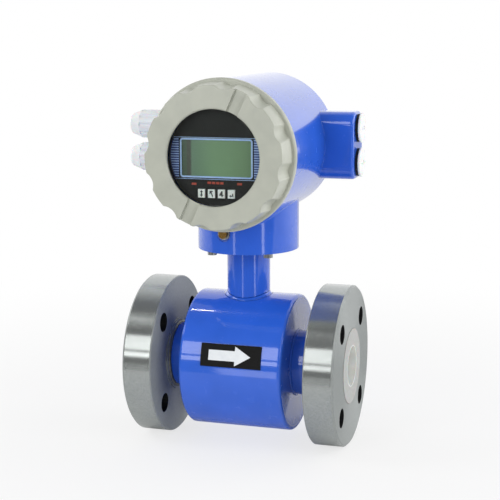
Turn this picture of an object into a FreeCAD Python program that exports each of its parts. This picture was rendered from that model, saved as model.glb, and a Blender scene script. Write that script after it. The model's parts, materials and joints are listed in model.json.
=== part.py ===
import FreeCAD, Part
import math
import os
from types import SimpleNamespace

import Sketcher

# Electromagnetic flow meter for a DN 40 pipeline, in millimetres.
# The origin is the centre of the flow bore, midway between the two flange faces. +X is the direction
# of flow, the display looks towards -Y and +Z is up. Places in the converter head are measured from
# the head's own axis, which is parallel to Y above the origin.

SIZES = {
    # Gaps between pieces.
    "fit_gap": 0.1,  # between pieces that are fixed to each other
    "running_gap": 0.3,  # between pieces that move past each other
    "overcut": 1.0,  # how far a cut starts or ends beyond the surface it goes through
    "hole_allowance": 0.5,  # how much deeper a tapped hole is than what goes into it
    # Flow tube, liner and flanges.
    "face_to_face": 200.0,
    "liner_bore": 37.0,
    "liner_wall": 3.0,
    "flare_diameter": 70.0,
    "flare_thickness": 3.5,
    "flare_rise": 0.5,
    "tube_wall": 2.5,
    "flange_diameter": 150.0,
    "flange_thickness": 28.0,
    "flange_chamfer": 2.0,
    "bolt_circle": 110.0,
    "bolt_hole": 18.0,
    "bolt_count": 4,
    "hub_diameter": 69.0,
    "hub_rise": 2.0,
    "sleeve_diameter": 60.5,
    "sleeve_wall": 3.0,
    # Sensor shell.
    "shell_diameter": 128.0,
    "shell_length": 97.0,
    "shell_wall": 4.0,
    "shell_rounding": 3.0,
    "end_plate_thickness": 5.0,
    # Magnetic circuit.
    "pole_thickness": 4.0,
    "pole_length": 44.0,
    "pole_width": 34.0,
    "core_diameter": 16.0,
    "coil_diameter": 40.0,
    "coil_height": 14.0,
    "yoke_bore": 100.0,
    "yoke_thickness": 3.0,
    # Electrodes.
    "electrode_head": 9.0,
    "electrode_head_depth": 1.5,
    "electrode_stem": 5.0,
    "electrode_reach": 38.0,
    "electrode_boss": 16.0,
    "electrode_boss_reach": 29.0,
    "bush_bore_wall": 2.0,
    "bush_flange": 15.0,
    "bush_flange_depth": 2.0,
    "electrode_nut": 9.0,
    "electrode_nut_depth": 4.0,
    # Flow arrow plate.
    "arrow_plate_length": 57.0,
    "arrow_plate_height": 21.0,
    "arrow_plate_thickness": 0.8,
    "arrow_plate_shift": 1.7,
    "arrow_plate_tilt": 16.0,
    # Neck.
    "neck_diameter": 40.2,
    "neck_wall": 3.0,
    "neck_weld": 3.0,
    "saddle_overlap": 9.0,
    "neck_plate_thickness": 6.0,
    "neck_gasket_thickness": 2.0,
    "neck_screw_inset": 4.0,
    "neck_screw": 5.0,
    "neck_screw_head": 8.5,
    "neck_screw_head_depth": 4.5,
    "neck_screw_length": 17.0,
    # Converter housing.
    "head_height": 201.0,
    "barrel_diameter": 133.0,
    "barrel_front": 74.5,
    "barrel_back": 68.0,
    "barrel_chamfer": 1.0,
    "barrel_wall": 9.5,
    "boss_diameter": 94.0,
    "boss_drop": 93.0,
    "boss_wall": 5.0,
    "boss_bore_inset": 4.0,
    "cast_rounding": 3.0,
    "partition_back": 12.0,
    "partition_thickness": 6.0,
    "box_reach": 93.2,
    "box_height": 63.0,
    "box_front": 26.5,
    "box_back": 66.5,
    "box_rounding": 12.0,
    "box_wall": 4.5,
    "entry_wall": 7.0,
    "entry_diameter": 20.2,
    "entry_spacing": 32.0,
    "lead_hole": 22.0,
    "lead_shift": 14.0,
    "post_diameter": 10.0,
    # Front cover and its window.
    "cover_rim_step": 0.5,
    "cover_rim_depth": 5.5,
    "cover_root_step": 3.0,
    "cover_face_step": 2.2,
    "cover_depth": 28.5,
    "cover_wall": 4.0,
    "cover_edge": 1.0,
    "thread_step": 4.0,
    "front_thread_depth": 14.0,
    "spigot_wall": 4.0,
    "seal_width": 2.4,
    "seal_depth": 2.4,
    "scallop_count": 12,
    "scallop_radius": 9.8,
    "scallop_depth": 2.5,
    "scallop_taper": 7.0,
    "scallop_rounding": 2.5,
    "scallop_turn": 9.5,
    "slot_width": 11.0,
    "slot_depth": 3.0,
    "window_diameter": 83.2,
    "window_lip": 3.2,
    "glass_gasket_thickness": 0.6,
    "glass_diameter": 97.4,
    "glass_thickness": 3.4,
    "ring_bore": 89.0,
    "ring_depth": 3.8,
    "notch_width": 3.7,
    "notch_depth": 1.0,
    # Rear cover.
    "rear_rim_step": 2.5,
    "rear_root_step": 4.0,
    "rear_face_step": 1.0,
    "rear_depth": 14.0,
    "rear_thread_depth": 8.0,
    # Display.
    "panel_diameter": 86.4,
    "panel_set_back": 13.5,
    "panel_thickness": 2.5,
    "lcd_width": 63.8,
    "lcd_height": 32.0,
    "lcd_shift_x": -0.7,
    "lcd_shift_z": -1.1,
    "lcd_recess": 1.3,
    "lcd_thickness": 3.2,
    "lcd_frame_border": 4.0,
    "key_width": 6.3,
    "key_height": 7.4,
    "key_pitch": 9.0,
    "key_shift_x": -0.5,
    "key_drop": 31.7,
    "key_rise": 0.6,
    "key_flange_thickness": 1.0,
    "key_flange_width": 8.2,
    "key_stem": 2.6,
    "key_travel": 0.5,
    "switch_width": 6.0,
    "switch_height": 2.6,
    "switch_hole_depth": 1.5,
    "spacer_depth": 6.0,
    "spacer_diameter": 6.0,
    "pillar_shift_x": 27.0,
    "pillar_shift_z": 29.0,
    "board_thickness": 1.6,
    "display_board_diameter": 82.0,
    "main_board_diameter": 96.0,
    "main_board_place": 56.0,
    "power_board_place": 24.0,
    "transformer_width": 30.0,
    "transformer_height": 26.0,
    "transformer_depth": 20.0,
    # Terminals.
    "terminal_width": 70.0,
    "terminal_height": 20.0,
    "terminal_depth": 15.0,
    "terminal_count": 8,
    "terminal_screw": 5.0,
    "terminal_screw_length": 5.0,
    "terminal_hole_depth": 7.5,
    # Cable glands and blind plugs.
    "gland_hex": 25.5,
    "gland_hex_depth": 8.0,
    "gland_thread_depth": 8.0,
    "gland_stub_diameter": 21.0,
    "gland_stub_length": 12.0,
    "gland_bore": 15.0,
    "gland_nut_diameter": 27.5,
    "gland_nut_length": 31.4,
    "gland_dome_length": 11.0,
    "gland_dome_diameter": 18.0,
    "gland_dome_edge": 1.0,
    "gland_mouth": 13.6,
    "gland_seal_bore": 10.0,
    "grip_count": 10,
    "grip_radius": 3.0,
    "grip_depth": 0.9,
    "plug_diameter": 27.5,
    "plug_head": 2.0,
    "plug_head_edge": 0.8,
    "plug_thread_depth": 9.0,
    "plug_bore": 14.0,
    "plug_slot": 3.0,
    "plug_slot_depth": 0.8,
    "washer_diameter": 26.0,
    "washer_thickness": 2.6,
    # Earth screw.
    "earth_shift": 9.7,
    "earth_drop": 74.5,
    "earth_seat_depth": 3.0,
    "earth_seat_diameter": 14.0,
    "earth_washer_diameter": 11.0,
    "earth_washer_thickness": 1.2,
    "earth_screw": 5.0,
    "earth_screw_head": 8.0,
    "earth_screw_head_depth": 3.4,
    "earth_screw_length": 9.0,
    "earth_slot_width": 1.25,
    "earth_slot_depth": 1.1,
    # Sensor lead.
    "lead_diameter": 8.0,
    "lead_bend": 9.0,
}

PLANES = {"X": "XZ_Plane", "Y": "YZ_Plane", "Z": "XZ_Plane"}


class Length:
    """A size: its number, and the sheet expression that gives it."""

    def __init__(self, number, text):
        self.number = float(number)
        self.text = text

    def __add__(self, other):
        other = as_length(other)
        return Length(self.number + other.number, f"({self.text} + {other.text})")

    def __sub__(self, other):
        other = as_length(other)
        return Length(self.number - other.number, f"({self.text} - {other.text})")

    def __mul__(self, other):
        other = as_length(other)
        return Length(self.number * other.number, f"({self.text} * {other.text})")

    def __truediv__(self, other):
        other = as_length(other)
        return Length(self.number / other.number, f"({self.text} / {other.text})")

    def __radd__(self, other):
        return as_length(other) + self

    def __rsub__(self, other):
        return as_length(other) - self

    def __rmul__(self, other):
        return as_length(other) * self

    def __neg__(self):
        return Length(-self.number, f"(-{self.text})")


def as_length(value):
    """A plain number as a Length, and a Length as it is."""
    if isinstance(value, Length):
        return value
    return Length(value, f"({float(value)})")


def half_chord(radius, offset):
    """Half of a circle's chord at some distance from its centre."""
    text = f"sqrt({radius.text} * {radius.text} - {offset.text} * {offset.text})"
    return Length(math.sqrt(radius.number ** 2 - offset.number ** 2), text)


def make_sheet(document):
    """The driving sizes in a spreadsheet, and each of them as a Length by its name."""
    sheet = document.addObject("Spreadsheet::Sheet", "Sizes")
    lengths = SimpleNamespace()
    for row, (name, number) in enumerate(SIZES.items(), start=1):
        sheet.set(f"A{row}", str(number))
        sheet.setAlias(f"A{row}", name)
        setattr(lengths, name, Length(number, f"Sizes.{name}"))
    document.recompute()
    return lengths


doc = FreeCAD.newDocument("FlowMeter")
size = make_sheet(doc)
pieces = []


# ---------------------------------------------------------------- drawing helpers


def place(thing, at, turn=None):
    """Put an object at a point bound to the sheet, turned about an axis by some degrees."""
    at = [as_length(value) for value in at]
    axis, angle = turn or ((0, 0, 1), 0)
    base = FreeCAD.Vector(*[value.number for value in at])
    thing.Placement = FreeCAD.Placement(base, FreeCAD.Rotation(FreeCAD.Vector(*axis), angle))
    for letter, value in zip("xyz", at):
        thing.setExpression(f"Placement.Base.{letter}", value.text)
    return thing


def new_body(name, at=(0, 0, 0), turn=None):
    body = doc.addObject("PartDesign::Body", name)
    body.Label = name
    return place(body, at, turn)


def add_sketch(body, label, plane, offset=0):
    """A sketch on one of the body's own origin planes, moved along the plane's normal."""
    sketch = body.newObject("Sketcher::SketchObject", f"{body.Name}_{label}")
    origin_plane = next(item for item in body.Origin.OriginFeatures if item.Role == plane)
    sketch.AttachmentSupport = (origin_plane, [""])
    sketch.MapMode = "FlatFace"
    sketch.setExpression("AttachmentOffset.Base.z", as_length(offset).text)
    return sketch


def bind(sketch, kind, value, *where):
    """One dimension of a sketch, bound to the sheet."""
    value = as_length(value)
    index = sketch.addConstraint(Sketcher.Constraint(kind, *where, value.number))
    sketch.setExpression(f"Constraints[{index}]", value.text)


def pin_point(sketch, geometry, vertex, x, y):
    bind(sketch, "DistanceX", x, -1, 1, geometry, vertex)
    bind(sketch, "DistanceY", y, -1, 1, geometry, vertex)


def point_of(x, y):
    return FreeCAD.Vector(as_length(x).number, as_length(y).number, 0)


def draw_polygon(sketch, corners):
    """A closed outline of straight lines through the corners."""
    first = sketch.GeometryCount
    count = len(corners)
    points = [point_of(x, y) for x, y in corners]
    for index, point in enumerate(points):
        sketch.addGeometry(Part.LineSegment(point, points[(index + 1) % count]))
    for index, (x, y) in enumerate(corners):
        following = first + (index + 1) % count
        sketch.addConstraint(Sketcher.Constraint("Coincident", first + index, 2, following, 1))
        pin_point(sketch, first + index, 1, x, y)


def draw_rectangle(sketch, middle, width, height):
    x, y = middle
    sides = [(-1, -1), (1, -1), (1, 1), (-1, 1)]
    draw_polygon(sketch, [(x + width / 2 * right, y + height / 2 * up) for right, up in sides])


def draw_circle(sketch, middle, radius):
    centre = point_of(*middle)
    index = sketch.addGeometry(Part.Circle(centre, FreeCAD.Vector(0, 0, 1), radius.number))
    pin_point(sketch, index, 3, *middle)
    bind(sketch, "Radius", radius, index)


def add_feature(body, kind, label, **settings):
    """A PartDesign feature; each setting that is a Length is bound to the sheet."""
    feature = body.newObject(f"PartDesign::{kind}", f"{body.Name}_{label}")
    for name, value in settings.items():
        if isinstance(value, Length):
            feature.setExpression(name, value.text)
            value = int(value.number) if name == "Occurrences" else value.number
        setattr(feature, name, value)
    return feature


def pad(body, label, sketch, length, both_ways=False, backwards=False):
    side = "Symmetric" if both_ways else "One side"
    return add_feature(body, "Pad", label, Profile=sketch, Length=length, SideType=side,
                       Reversed=backwards)


def pocket(body, label, sketch, length, both_ways=False, backwards=False, **more):
    """A cut against the sketch plane's normal, along it if backwards, or both ways from it."""
    side = "Symmetric" if both_ways else "One side"
    return add_feature(body, "Pocket", label, Profile=sketch, Length=length, SideType=side,
                       Reversed=backwards, **more)


def repeat_round(body, label, feature, role, count):
    """Copies of a feature all round one of the body's own axes."""
    axis = next(item for item in body.Origin.OriginFeatures if item.Role == role)
    pattern = add_feature(body, "PolarPattern", label, Originals=[feature], Axis=(axis, [""]), Angle=360,
                          Occurrences=count)
    body.Tip = pattern
    return pattern


def round_edges(body, label, radius, wanted):
    """Round the edges of the body so far that the test picks."""
    doc.recompute()
    base = body.Tip
    names = [f"Edge{number}" for number, edge in enumerate(base.Shape.Edges, start=1) if wanted(edge)]
    return add_feature(body, "Fillet", label, Base=(base, names), Radius=radius)


def turned(name, along, outline, at=(0, 0, 0), turn=None):
    """A piece turned about a line along X, Y or Z. The outline has (place along it, radius) corners."""
    body = new_body(name, at, turn)
    sketch = add_sketch(body, "outline", PLANES[along])
    swap = along == "Z"
    draw_polygon(sketch, [corner[::-1] if swap else corner for corner in outline])
    line = "V_Axis" if swap else "H_Axis"
    add_feature(body, "Revolution", "turning", Profile=sketch, ReferenceAxis=(sketch, [line]), Angle=360)
    return body


def ring_outline(start, end, bore_radius, outer_radius):
    return [(start, bore_radius), (start, outer_radius), (end, outer_radius), (end, bore_radius)]


def turned_groove(body, label, outline):
    """A cavity turned about Y inside a body, from (place, radius) corners."""
    sketch = add_sketch(body, f"{label}_outline", "YZ_Plane")
    draw_polygon(sketch, outline)
    return add_feature(body, "Groove", label, Profile=sketch, ReferenceAxis=(sketch, ["H_Axis"]), Angle=360)


def keep(thing):
    """Hand a finished piece over for export under its own label."""
    pieces.append(thing)
    return thing


def grouped(name, members):
    """Several loose solids that make one node."""
    group = doc.addObject("Part::Compound", name)
    group.Label = name
    group.Links = members
    return keep(group)


# ---------------------------------------------------------------- shared places


half_face = size.face_to_face / 2
flange_face = half_face - size.flare_rise
flange_back = flange_face - size.flange_thickness
hub_end = flange_back - size.hub_rise
flare_seat = half_face - size.flare_thickness

bore_radius = size.liner_bore / 2
liner_radius = bore_radius + size.liner_wall
tube_bore_radius = liner_radius + size.fit_gap
tube_radius = tube_bore_radius + size.tube_wall
sleeve_radius = size.sleeve_diameter / 2

shell_radius = size.shell_diameter / 2
shell_bore_radius = shell_radius - size.shell_wall
shell_end = size.shell_length / 2
end_plate_inner = shell_end - size.end_plate_thickness

pole_bore_radius = tube_radius + size.fit_gap
pole_radius = pole_bore_radius + size.pole_thickness
yoke_bore_radius = size.yoke_bore / 2
yoke_radius = yoke_bore_radius + size.yoke_thickness

neck_radius = size.neck_diameter / 2
neck_bottom = (shell_bore_radius + yoke_radius) / 2
boss_radius = size.boss_diameter / 2
neck_plate_radius = boss_radius - size.boss_wall
neck_screw_radius = neck_plate_radius - size.neck_screw_inset
boss_bore_radius = neck_screw_radius - size.boss_bore_inset
earth_seat = boss_radius - size.earth_seat_depth
boss_bottom = size.head_height - size.boss_drop
neck_top = boss_bottom + size.neck_plate_thickness
boss_shoulder = neck_top + size.neck_gasket_thickness

head = (0, 0, size.head_height)
barrel_radius = size.barrel_diameter / 2
front_cavity_radius = barrel_radius - size.barrel_wall
cover_rim_radius = barrel_radius + size.cover_rim_step
cover_root_radius = cover_rim_radius - size.cover_root_step
cover_face_radius = cover_root_radius - size.cover_face_step
thread_radius = cover_root_radius - size.thread_step
spigot_radius = thread_radius - size.running_gap
rear_rim_radius = barrel_radius - size.rear_rim_step
rear_root_radius = rear_rim_radius - size.rear_root_step
rear_face_radius = rear_root_radius - size.rear_face_step
rear_thread_radius = rear_root_radius - size.thread_step
partition_front = size.partition_back - size.partition_thickness
box_middle = (size.box_front + size.box_back) / 2
entry_radius = size.entry_diameter / 2

# Front cover: places along Y, from the rim's seat to the face.
rim_seat = -(size.barrel_front + size.running_gap)
cover_face = rim_seat - size.cover_depth
glass_seat = cover_face + size.window_lip
glass_front = glass_seat + size.glass_gasket_thickness
glass_back = glass_front + size.glass_thickness
ring_back = glass_back + size.ring_depth
window_radius = size.window_diameter / 2
glass_pocket_radius = size.glass_diameter / 2 + size.fit_gap

# Display: places along Y, from the panel's face backwards.
panel_face = cover_face + size.panel_set_back
panel_back = panel_face + size.panel_thickness
display_board_front = panel_back + size.spacer_depth
display_board_back = display_board_front + size.board_thickness
main_board_front = -size.main_board_place
main_board_back = main_board_front + size.board_thickness
power_board_front = -size.power_board_place
power_board_back = power_board_front + size.board_thickness


# ---------------------------------------------------------------- flow tube and flanges


def make_measuring_tube():
    """Stainless tube with a round boss for the electrode on each side."""
    body = turned("measuring_tube", "X", ring_outline(-flare_seat, flare_seat, 0, tube_radius))
    bosses = add_sketch(body, "boss_circle", "XZ_Plane")
    draw_circle(bosses, (0, 0), size.electrode_boss / 2)
    pad(body, "bosses", bosses, size.electrode_boss_reach * 2, both_ways=True)
    bore = add_sketch(body, "bore_circle", "YZ_Plane")
    draw_circle(bore, (0, 0), tube_bore_radius)
    pocket(body, "bore", bore, size.face_to_face, both_ways=True)
    holes = add_sketch(body, "electrode_circle", "XZ_Plane")
    draw_circle(holes, (0, 0), size.electrode_stem / 2 + size.bush_bore_wall + size.fit_gap * 2)
    pocket(body, "electrode_holes", holes, size.electrode_boss_reach * 2, both_ways=True)
    keep(body)


def make_liner():
    """PTFE liner, flared over both flange faces, with flush seats for the electrode heads."""
    half_outline = [(half_face, bore_radius), (half_face, size.flare_diameter / 2),
                    (flare_seat, size.flare_diameter / 2), (flare_seat, liner_radius)]
    mirrored = [(-place_x, radius) for place_x, radius in reversed(half_outline)]
    body = turned("liner", "X", half_outline + mirrored)
    holes = add_sketch(body, "stem_circle", "XZ_Plane")
    draw_circle(holes, (0, 0), size.electrode_stem / 2 + size.fit_gap)
    pocket(body, "stem_holes", holes, size.electrode_reach * 2, both_ways=True)
    seats = add_sketch(body, "head_circle", "XZ_Plane")
    draw_circle(seats, (0, 0), size.electrode_head / 2 + size.fit_gap)
    pocket(body, "head_seats", seats, (bore_radius + size.electrode_head_depth + size.fit_gap) * 2,
           both_ways=True)
    keep(body)


def make_flange(name, side):
    """Turned flange with a counterbore for the liner's flare, a hub behind and a circle of bolt holes."""
    bore = tube_radius + size.fit_gap
    rim = size.flange_diameter / 2
    flare = size.flare_diameter / 2 + size.fit_gap
    outline = [(hub_end, bore), (hub_end, size.hub_diameter / 2), (flange_back, size.hub_diameter / 2),
               (flange_back, rim - size.flange_chamfer / 2),
               (flange_back + size.flange_chamfer / 2, rim),
               (flange_face - size.flange_chamfer, rim), (flange_face, rim - size.flange_chamfer),
               (flange_face, flare), (flare_seat, flare), (flare_seat, bore)]
    body = turned(name, "X", [(place_x * side, radius) for place_x, radius in outline])
    hole = add_sketch(body, "bolt_circle", "YZ_Plane")
    across = size.bolt_circle / 2 * math.sqrt(0.5)
    draw_circle(hole, (across, across), size.bolt_hole / 2)
    first = pocket(body, "bolt_hole", hole, size.face_to_face, both_ways=True)
    repeat_round(body, "bolt_holes", first, "X_Axis", size.bolt_count)
    keep(body)


def make_sleeve(name, side):
    """Outer sleeve between the shell's end plate and the flange's hub."""
    outline = ring_outline(end_plate_inner, hub_end, sleeve_radius - size.sleeve_wall, sleeve_radius)
    keep(turned(name, "X", [(place_x * side, radius) for place_x, radius in outline]))


def make_shell():
    """Drum with rounded ends and a round hole for the neck."""
    body = turned("sensor_shell", "X", ring_outline(-shell_end, shell_end, shell_bore_radius, shell_radius))
    round_edges(body, "rounding", size.shell_rounding,
                lambda edge: abs(edge.BoundBox.YLength - size.shell_diameter.number) < 0.01
                and edge.BoundBox.XLength < 0.01)
    hole = add_sketch(body, "neck_circle", "XY_Plane")
    draw_circle(hole, (0, 0), neck_radius + size.fit_gap)
    pocket(body, "neck_hole", hole, size.shell_diameter, backwards=True)
    keep(body)


def make_end_plate(name, side):
    """Ring welded flush inside the end of the shell, round the sleeve."""
    outline = ring_outline(end_plate_inner, shell_end, sleeve_radius + size.fit_gap,
                           shell_bore_radius - size.fit_gap)
    keep(turned(name, "X", [(place_x * side, radius) for place_x, radius in outline]))


# ---------------------------------------------------------------- magnetic circuit and electrodes


def make_pole(name, side):
    """Curved pole shoe on the tube, with a round core that reaches the yoke."""
    body = new_body(name)
    shoe = add_sketch(body, "shoe_outline", "YZ_Plane")
    draw_circle(shoe, (0, 0), pole_radius)
    pad(body, "shoe", shoe, size.pole_length, both_ways=True)
    core = add_sketch(body, "core_circle", "XY_Plane")
    draw_circle(core, (0, 0), size.core_diameter / 2)
    core_end = half_chord(yoke_bore_radius - size.fit_gap, size.core_diameter / 2)
    pad(body, "core", core, core_end, backwards=side < 0)
    tube = add_sketch(body, "tube_circle", "YZ_Plane")
    draw_circle(tube, (0, 0), pole_bore_radius)
    pocket(body, "tube_bore", tube, size.face_to_face, both_ways=True)
    trim = add_sketch(body, "trim_outline", "YZ_Plane")
    half_width = size.pole_width / 2
    low = half_chord(pole_bore_radius, half_width)
    reach = pole_radius + size.fit_gap
    outside = [(-reach, low), (-half_width, low), (-half_width, reach), (half_width, reach),
               (half_width, low), (reach, low), (reach, -reach), (-reach, -reach)]
    draw_polygon(trim, [(place_y, height * side) for place_y, height in outside[:2] + outside[4:]])
    pocket(body, "trim", trim, size.face_to_face, both_ways=True)
    keep(body)


def make_coil(name, side):
    """Wound coil round the pole's core."""
    start = pole_radius + size.fit_gap
    outline = ring_outline(start, start + size.coil_height, size.core_diameter / 2 + size.fit_gap,
                           size.coil_diameter / 2)
    keep(turned(name, "Z", [(height * side, radius) for height, radius in outline]))


def make_yoke():
    """Rolled steel band that closes the magnetic path round both coils."""
    half_length = size.pole_length / 2
    keep(turned("yoke", "X", ring_outline(-half_length, half_length, yoke_bore_radius, yoke_radius)))


def both_sides(name, outline):
    """Two like pieces turned about Y, one on each side of the flow tube."""
    members = []
    for label, side in (("front", -1), ("rear", 1)):
        corners = [(place_y * side, radius) for place_y, radius in outline]
        members.append(turned(f"{name}_{label}", "Y", corners))
    grouped(name, members)


def make_electrodes():
    """Flush electrodes, each with an insulating bush in the tube's boss and a nut outside."""
    head_start = bore_radius + size.fit_gap
    head_end = head_start + size.electrode_head_depth
    stem = size.electrode_stem / 2
    both_sides("electrodes", [(head_start, 0), (head_start, size.electrode_head / 2),
                              (head_end, size.electrode_head / 2), (head_end, stem),
                              (size.electrode_reach, stem), (size.electrode_reach, 0)])
    bush_bore = stem + size.fit_gap
    bush_wall = bush_bore + size.bush_bore_wall
    bush_end = size.electrode_boss_reach + size.bush_flange_depth
    both_sides("electrode_bushes", [(tube_bore_radius, bush_bore), (tube_bore_radius, bush_wall),
                                    (size.electrode_boss_reach, bush_wall),
                                    (size.electrode_boss_reach, size.bush_flange / 2),
                                    (bush_end, size.bush_flange / 2), (bush_end, bush_bore)])
    both_sides("electrode_nuts", ring_outline(bush_end, bush_end + size.electrode_nut_depth, bush_bore,
                                              size.electrode_nut / 2))


def make_arrow_plate():
    """Thin plate curved round the shell, centred a little above its front line."""
    back = shell_radius + size.fit_gap
    front = back + size.arrow_plate_thickness
    tilt = ((1, 0, 0), -size.arrow_plate_tilt.number)
    body = new_body("flow_arrow_plate", turn=tilt)
    section = add_sketch(body, "section", "XY_Plane")
    middle = (size.arrow_plate_shift, -(back + front) / 2)
    draw_rectangle(section, middle, size.arrow_plate_length, front - back)
    span = math.degrees(2 * math.asin(size.arrow_plate_height.number / (2 * front.number)))
    span = Length(span, f"(2 * asin({size.arrow_plate_height.text} / (2 * {front.text})))")
    add_feature(body, "Revolution", "rolling", Profile=section, ReferenceAxis=(section, ["H_Axis"]),
                Angle=span, Midplane=True)
    keep(body)


# ---------------------------------------------------------------- neck


def make_neck_weld():
    """Weld bead along the saddle line where the neck meets the shell."""
    body = new_body("neck_weld")
    shell = add_sketch(body, "shell_circle", "YZ_Plane")
    draw_circle(shell, (0, 0), shell_radius + size.fit_gap / 2)
    pad(body, "shell", shell, size.neck_diameter * 2, both_ways=True)
    neck = add_sketch(body, "neck_circle", "XY_Plane")
    draw_circle(neck, (0, 0), neck_radius + size.fit_gap / 2)
    pad(body, "neck", neck, shell_radius + size.saddle_overlap)
    shell_line = shell_radius + size.fit_gap / 2
    neck_line = neck_radius + size.fit_gap / 2

    def on_saddle(edge):
        point = edge.valueAt((edge.FirstParameter + edge.LastParameter) / 2)
        from_x = math.hypot(point.y, point.z)
        from_z = math.hypot(point.x, point.y)
        return abs(from_x - shell_line.number) < 0.01 and abs(from_z - neck_line.number) < 0.01

    round_edges(body, "bead", size.neck_weld, on_saddle)
    shell_cut = add_sketch(body, "shell_cut_circle", "YZ_Plane")
    draw_circle(shell_cut, (0, 0), shell_line)
    pocket(body, "shell_cut", shell_cut, size.neck_diameter * 2, both_ways=True)
    neck_cut = add_sketch(body, "neck_cut_circle", "XY_Plane")
    draw_circle(neck_cut, (0, 0), neck_line)
    pocket(body, "neck_cut", neck_cut, shell_radius + size.saddle_overlap, backwards=True)
    keep(body)


def make_neck():
    """Neck pipe, the round plate welded to its top, the gasket above and the four screws."""
    bore = neck_radius - size.neck_wall
    keep(turned("neck_tube", "Z", ring_outline(neck_bottom, neck_top, bore, neck_radius)))
    screw_x = neck_screw_radius * math.sqrt(0.5)
    screw_hole = size.neck_screw / 2 + size.fit_gap

    def plate(name, bottom, top, hole_radius):
        outline = ring_outline(bottom, top, hole_radius, neck_plate_radius)
        body = turned(name, "Z", outline)
        hole = add_sketch(body, "screw_circle", "XY_Plane", bottom)
        draw_circle(hole, (screw_x, screw_x), screw_hole)
        first = pocket(body, "screw_hole", hole, top - bottom, backwards=True)
        repeat_round(body, "screw_holes", first, "Z_Axis", 4)
        keep(body)

    plate("neck_plate", boss_bottom, neck_top, neck_radius + size.fit_gap)
    plate("neck_gasket", neck_top, boss_shoulder, bore)
    screws = []
    for number, (right, back) in enumerate([(1, 1), (-1, 1), (-1, -1), (1, -1)], start=1):
        head_low = -size.neck_screw_head_depth
        outline = [(head_low, 0), (head_low, size.neck_screw_head / 2), (0, size.neck_screw_head / 2),
                   (0, size.neck_screw / 2), (size.neck_screw_length, size.neck_screw / 2),
                   (size.neck_screw_length, 0)]
        at = (screw_x * right, screw_x * back, boss_bottom)
        screws.append(turned(f"neck_screw_{number}", "Z", outline, at))
    grouped("neck_screws", screws)


def make_sensor_lead():
    """Screened lead from the yoke up the neck and through the boss to the main board's back."""
    bend = size.lead_bend.number
    shift = -size.lead_shift.number
    start = yoke_radius.number + size.fit_gap.number
    low_turn = boss_shoulder.number
    high_turn = size.head_height.number - barrel_radius.number
    top = size.head_height.number - size.lead_hole.number
    end = (main_board_back + size.fit_gap).number
    route = [FreeCAD.Vector(0, 0, start), FreeCAD.Vector(0, 0, low_turn),
             FreeCAD.Vector(0, shift, high_turn), FreeCAD.Vector(0, shift, top),
             FreeCAD.Vector(0, end, top)]
    lead = doc.addObject("Part::Feature", "sensor_lead")
    lead.Label = "sensor_lead"
    lead.Shape = tube_along(route, bend, size.lead_diameter.number / 2)
    keep(lead)


def tube_along(route, bend, radius):
    """A round rod along straight runs joined by tangent arcs."""
    edges = []
    last = route[0]
    for before, corner, after in zip(route, route[1:], route[2:]):
        inward = (before - corner).normalize()
        outward = (after - corner).normalize()
        half_turn = inward.getAngle(outward) / 2
        step = bend / math.tan(half_turn)
        start = corner + inward * step
        end = corner + outward * step
        to_centre = (inward + outward).normalize()
        middle = corner + to_centre * (bend / math.sin(half_turn) - bend)
        edges.append(Part.LineSegment(last, start).toShape())
        edges.append(Part.Arc(start, middle, end).toShape())
        last = end
    edges.append(Part.LineSegment(last, route[-1]).toShape())
    direction = (route[1] - route[0]).normalize()
    section = Part.Wire([Part.Circle(route[0], direction, radius).toShape()])
    return Part.Wire(edges).makePipeShell([section], True, False)


# ---------------------------------------------------------------- converter housing


def make_housing():
    """Cast housing: a barrel with two chambers, a boss below and a cable box on each side."""
    body = turned("converter_housing", "Y", [
        (-size.barrel_front, 0), (-size.barrel_front, barrel_radius - size.barrel_chamfer),
        (-size.barrel_front + size.barrel_chamfer, barrel_radius),
        (size.barrel_back - size.barrel_chamfer, barrel_radius),
        (size.barrel_back, barrel_radius - size.barrel_chamfer), (size.barrel_back, 0)], head)
    boss = add_sketch(body, "boss_circle", "XY_Plane", -size.boss_drop)
    draw_circle(boss, (0, 0), boss_radius)
    pad(body, "boss", boss, size.boss_drop)
    boxes = add_sketch(body, "box_outline", "YZ_Plane")
    draw_rectangle(boxes, (box_middle, as_length(0)), size.box_back - size.box_front, size.box_height)
    box_pad = pad(body, "boxes", boxes, size.box_reach * 2, both_ways=True)
    round_box_corners(body, box_pad)
    round_cast_joints(body)
    cut_chambers(body)
    cut_boss(body)
    add_board_posts(body)
    cut_earth_seat(body)
    keep(body)


def round_box_corners(body, box_pad):
    """Rounded corners along the boxes, then small rounds at their outer ends."""
    height = size.box_height.number / 2
    reach = size.box_reach.number

    def along_box(edge):
        box = edge.BoundBox
        outside = max(abs(box.XMin), abs(box.XMax)) > reach - 0.01
        return outside and box.XLength > 1 and abs(abs(box.ZMin) - height) < 0.01

    def at_box_end(edge):
        box = edge.BoundBox
        return box.XLength < 0.01 and abs(abs(box.XMin) - reach) < 0.01

    round_edges(body, "box_corners", size.box_rounding, along_box)
    round_edges(body, "box_ends", size.cast_rounding, at_box_end)


def round_cast_joints(body):
    """Cast radius where the boss meets the barrel."""

    def on_joint(edge):
        point = edge.valueAt((edge.FirstParameter + edge.LastParameter) / 2)
        on_boss = abs(math.hypot(point.x, point.y) - boss_radius.number) < 0.01
        on_barrel = abs(math.hypot(point.x, point.z) - barrel_radius.number) < 0.01
        return on_boss and on_barrel

    round_edges(body, "boss_joint", size.cast_rounding, on_joint)


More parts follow.
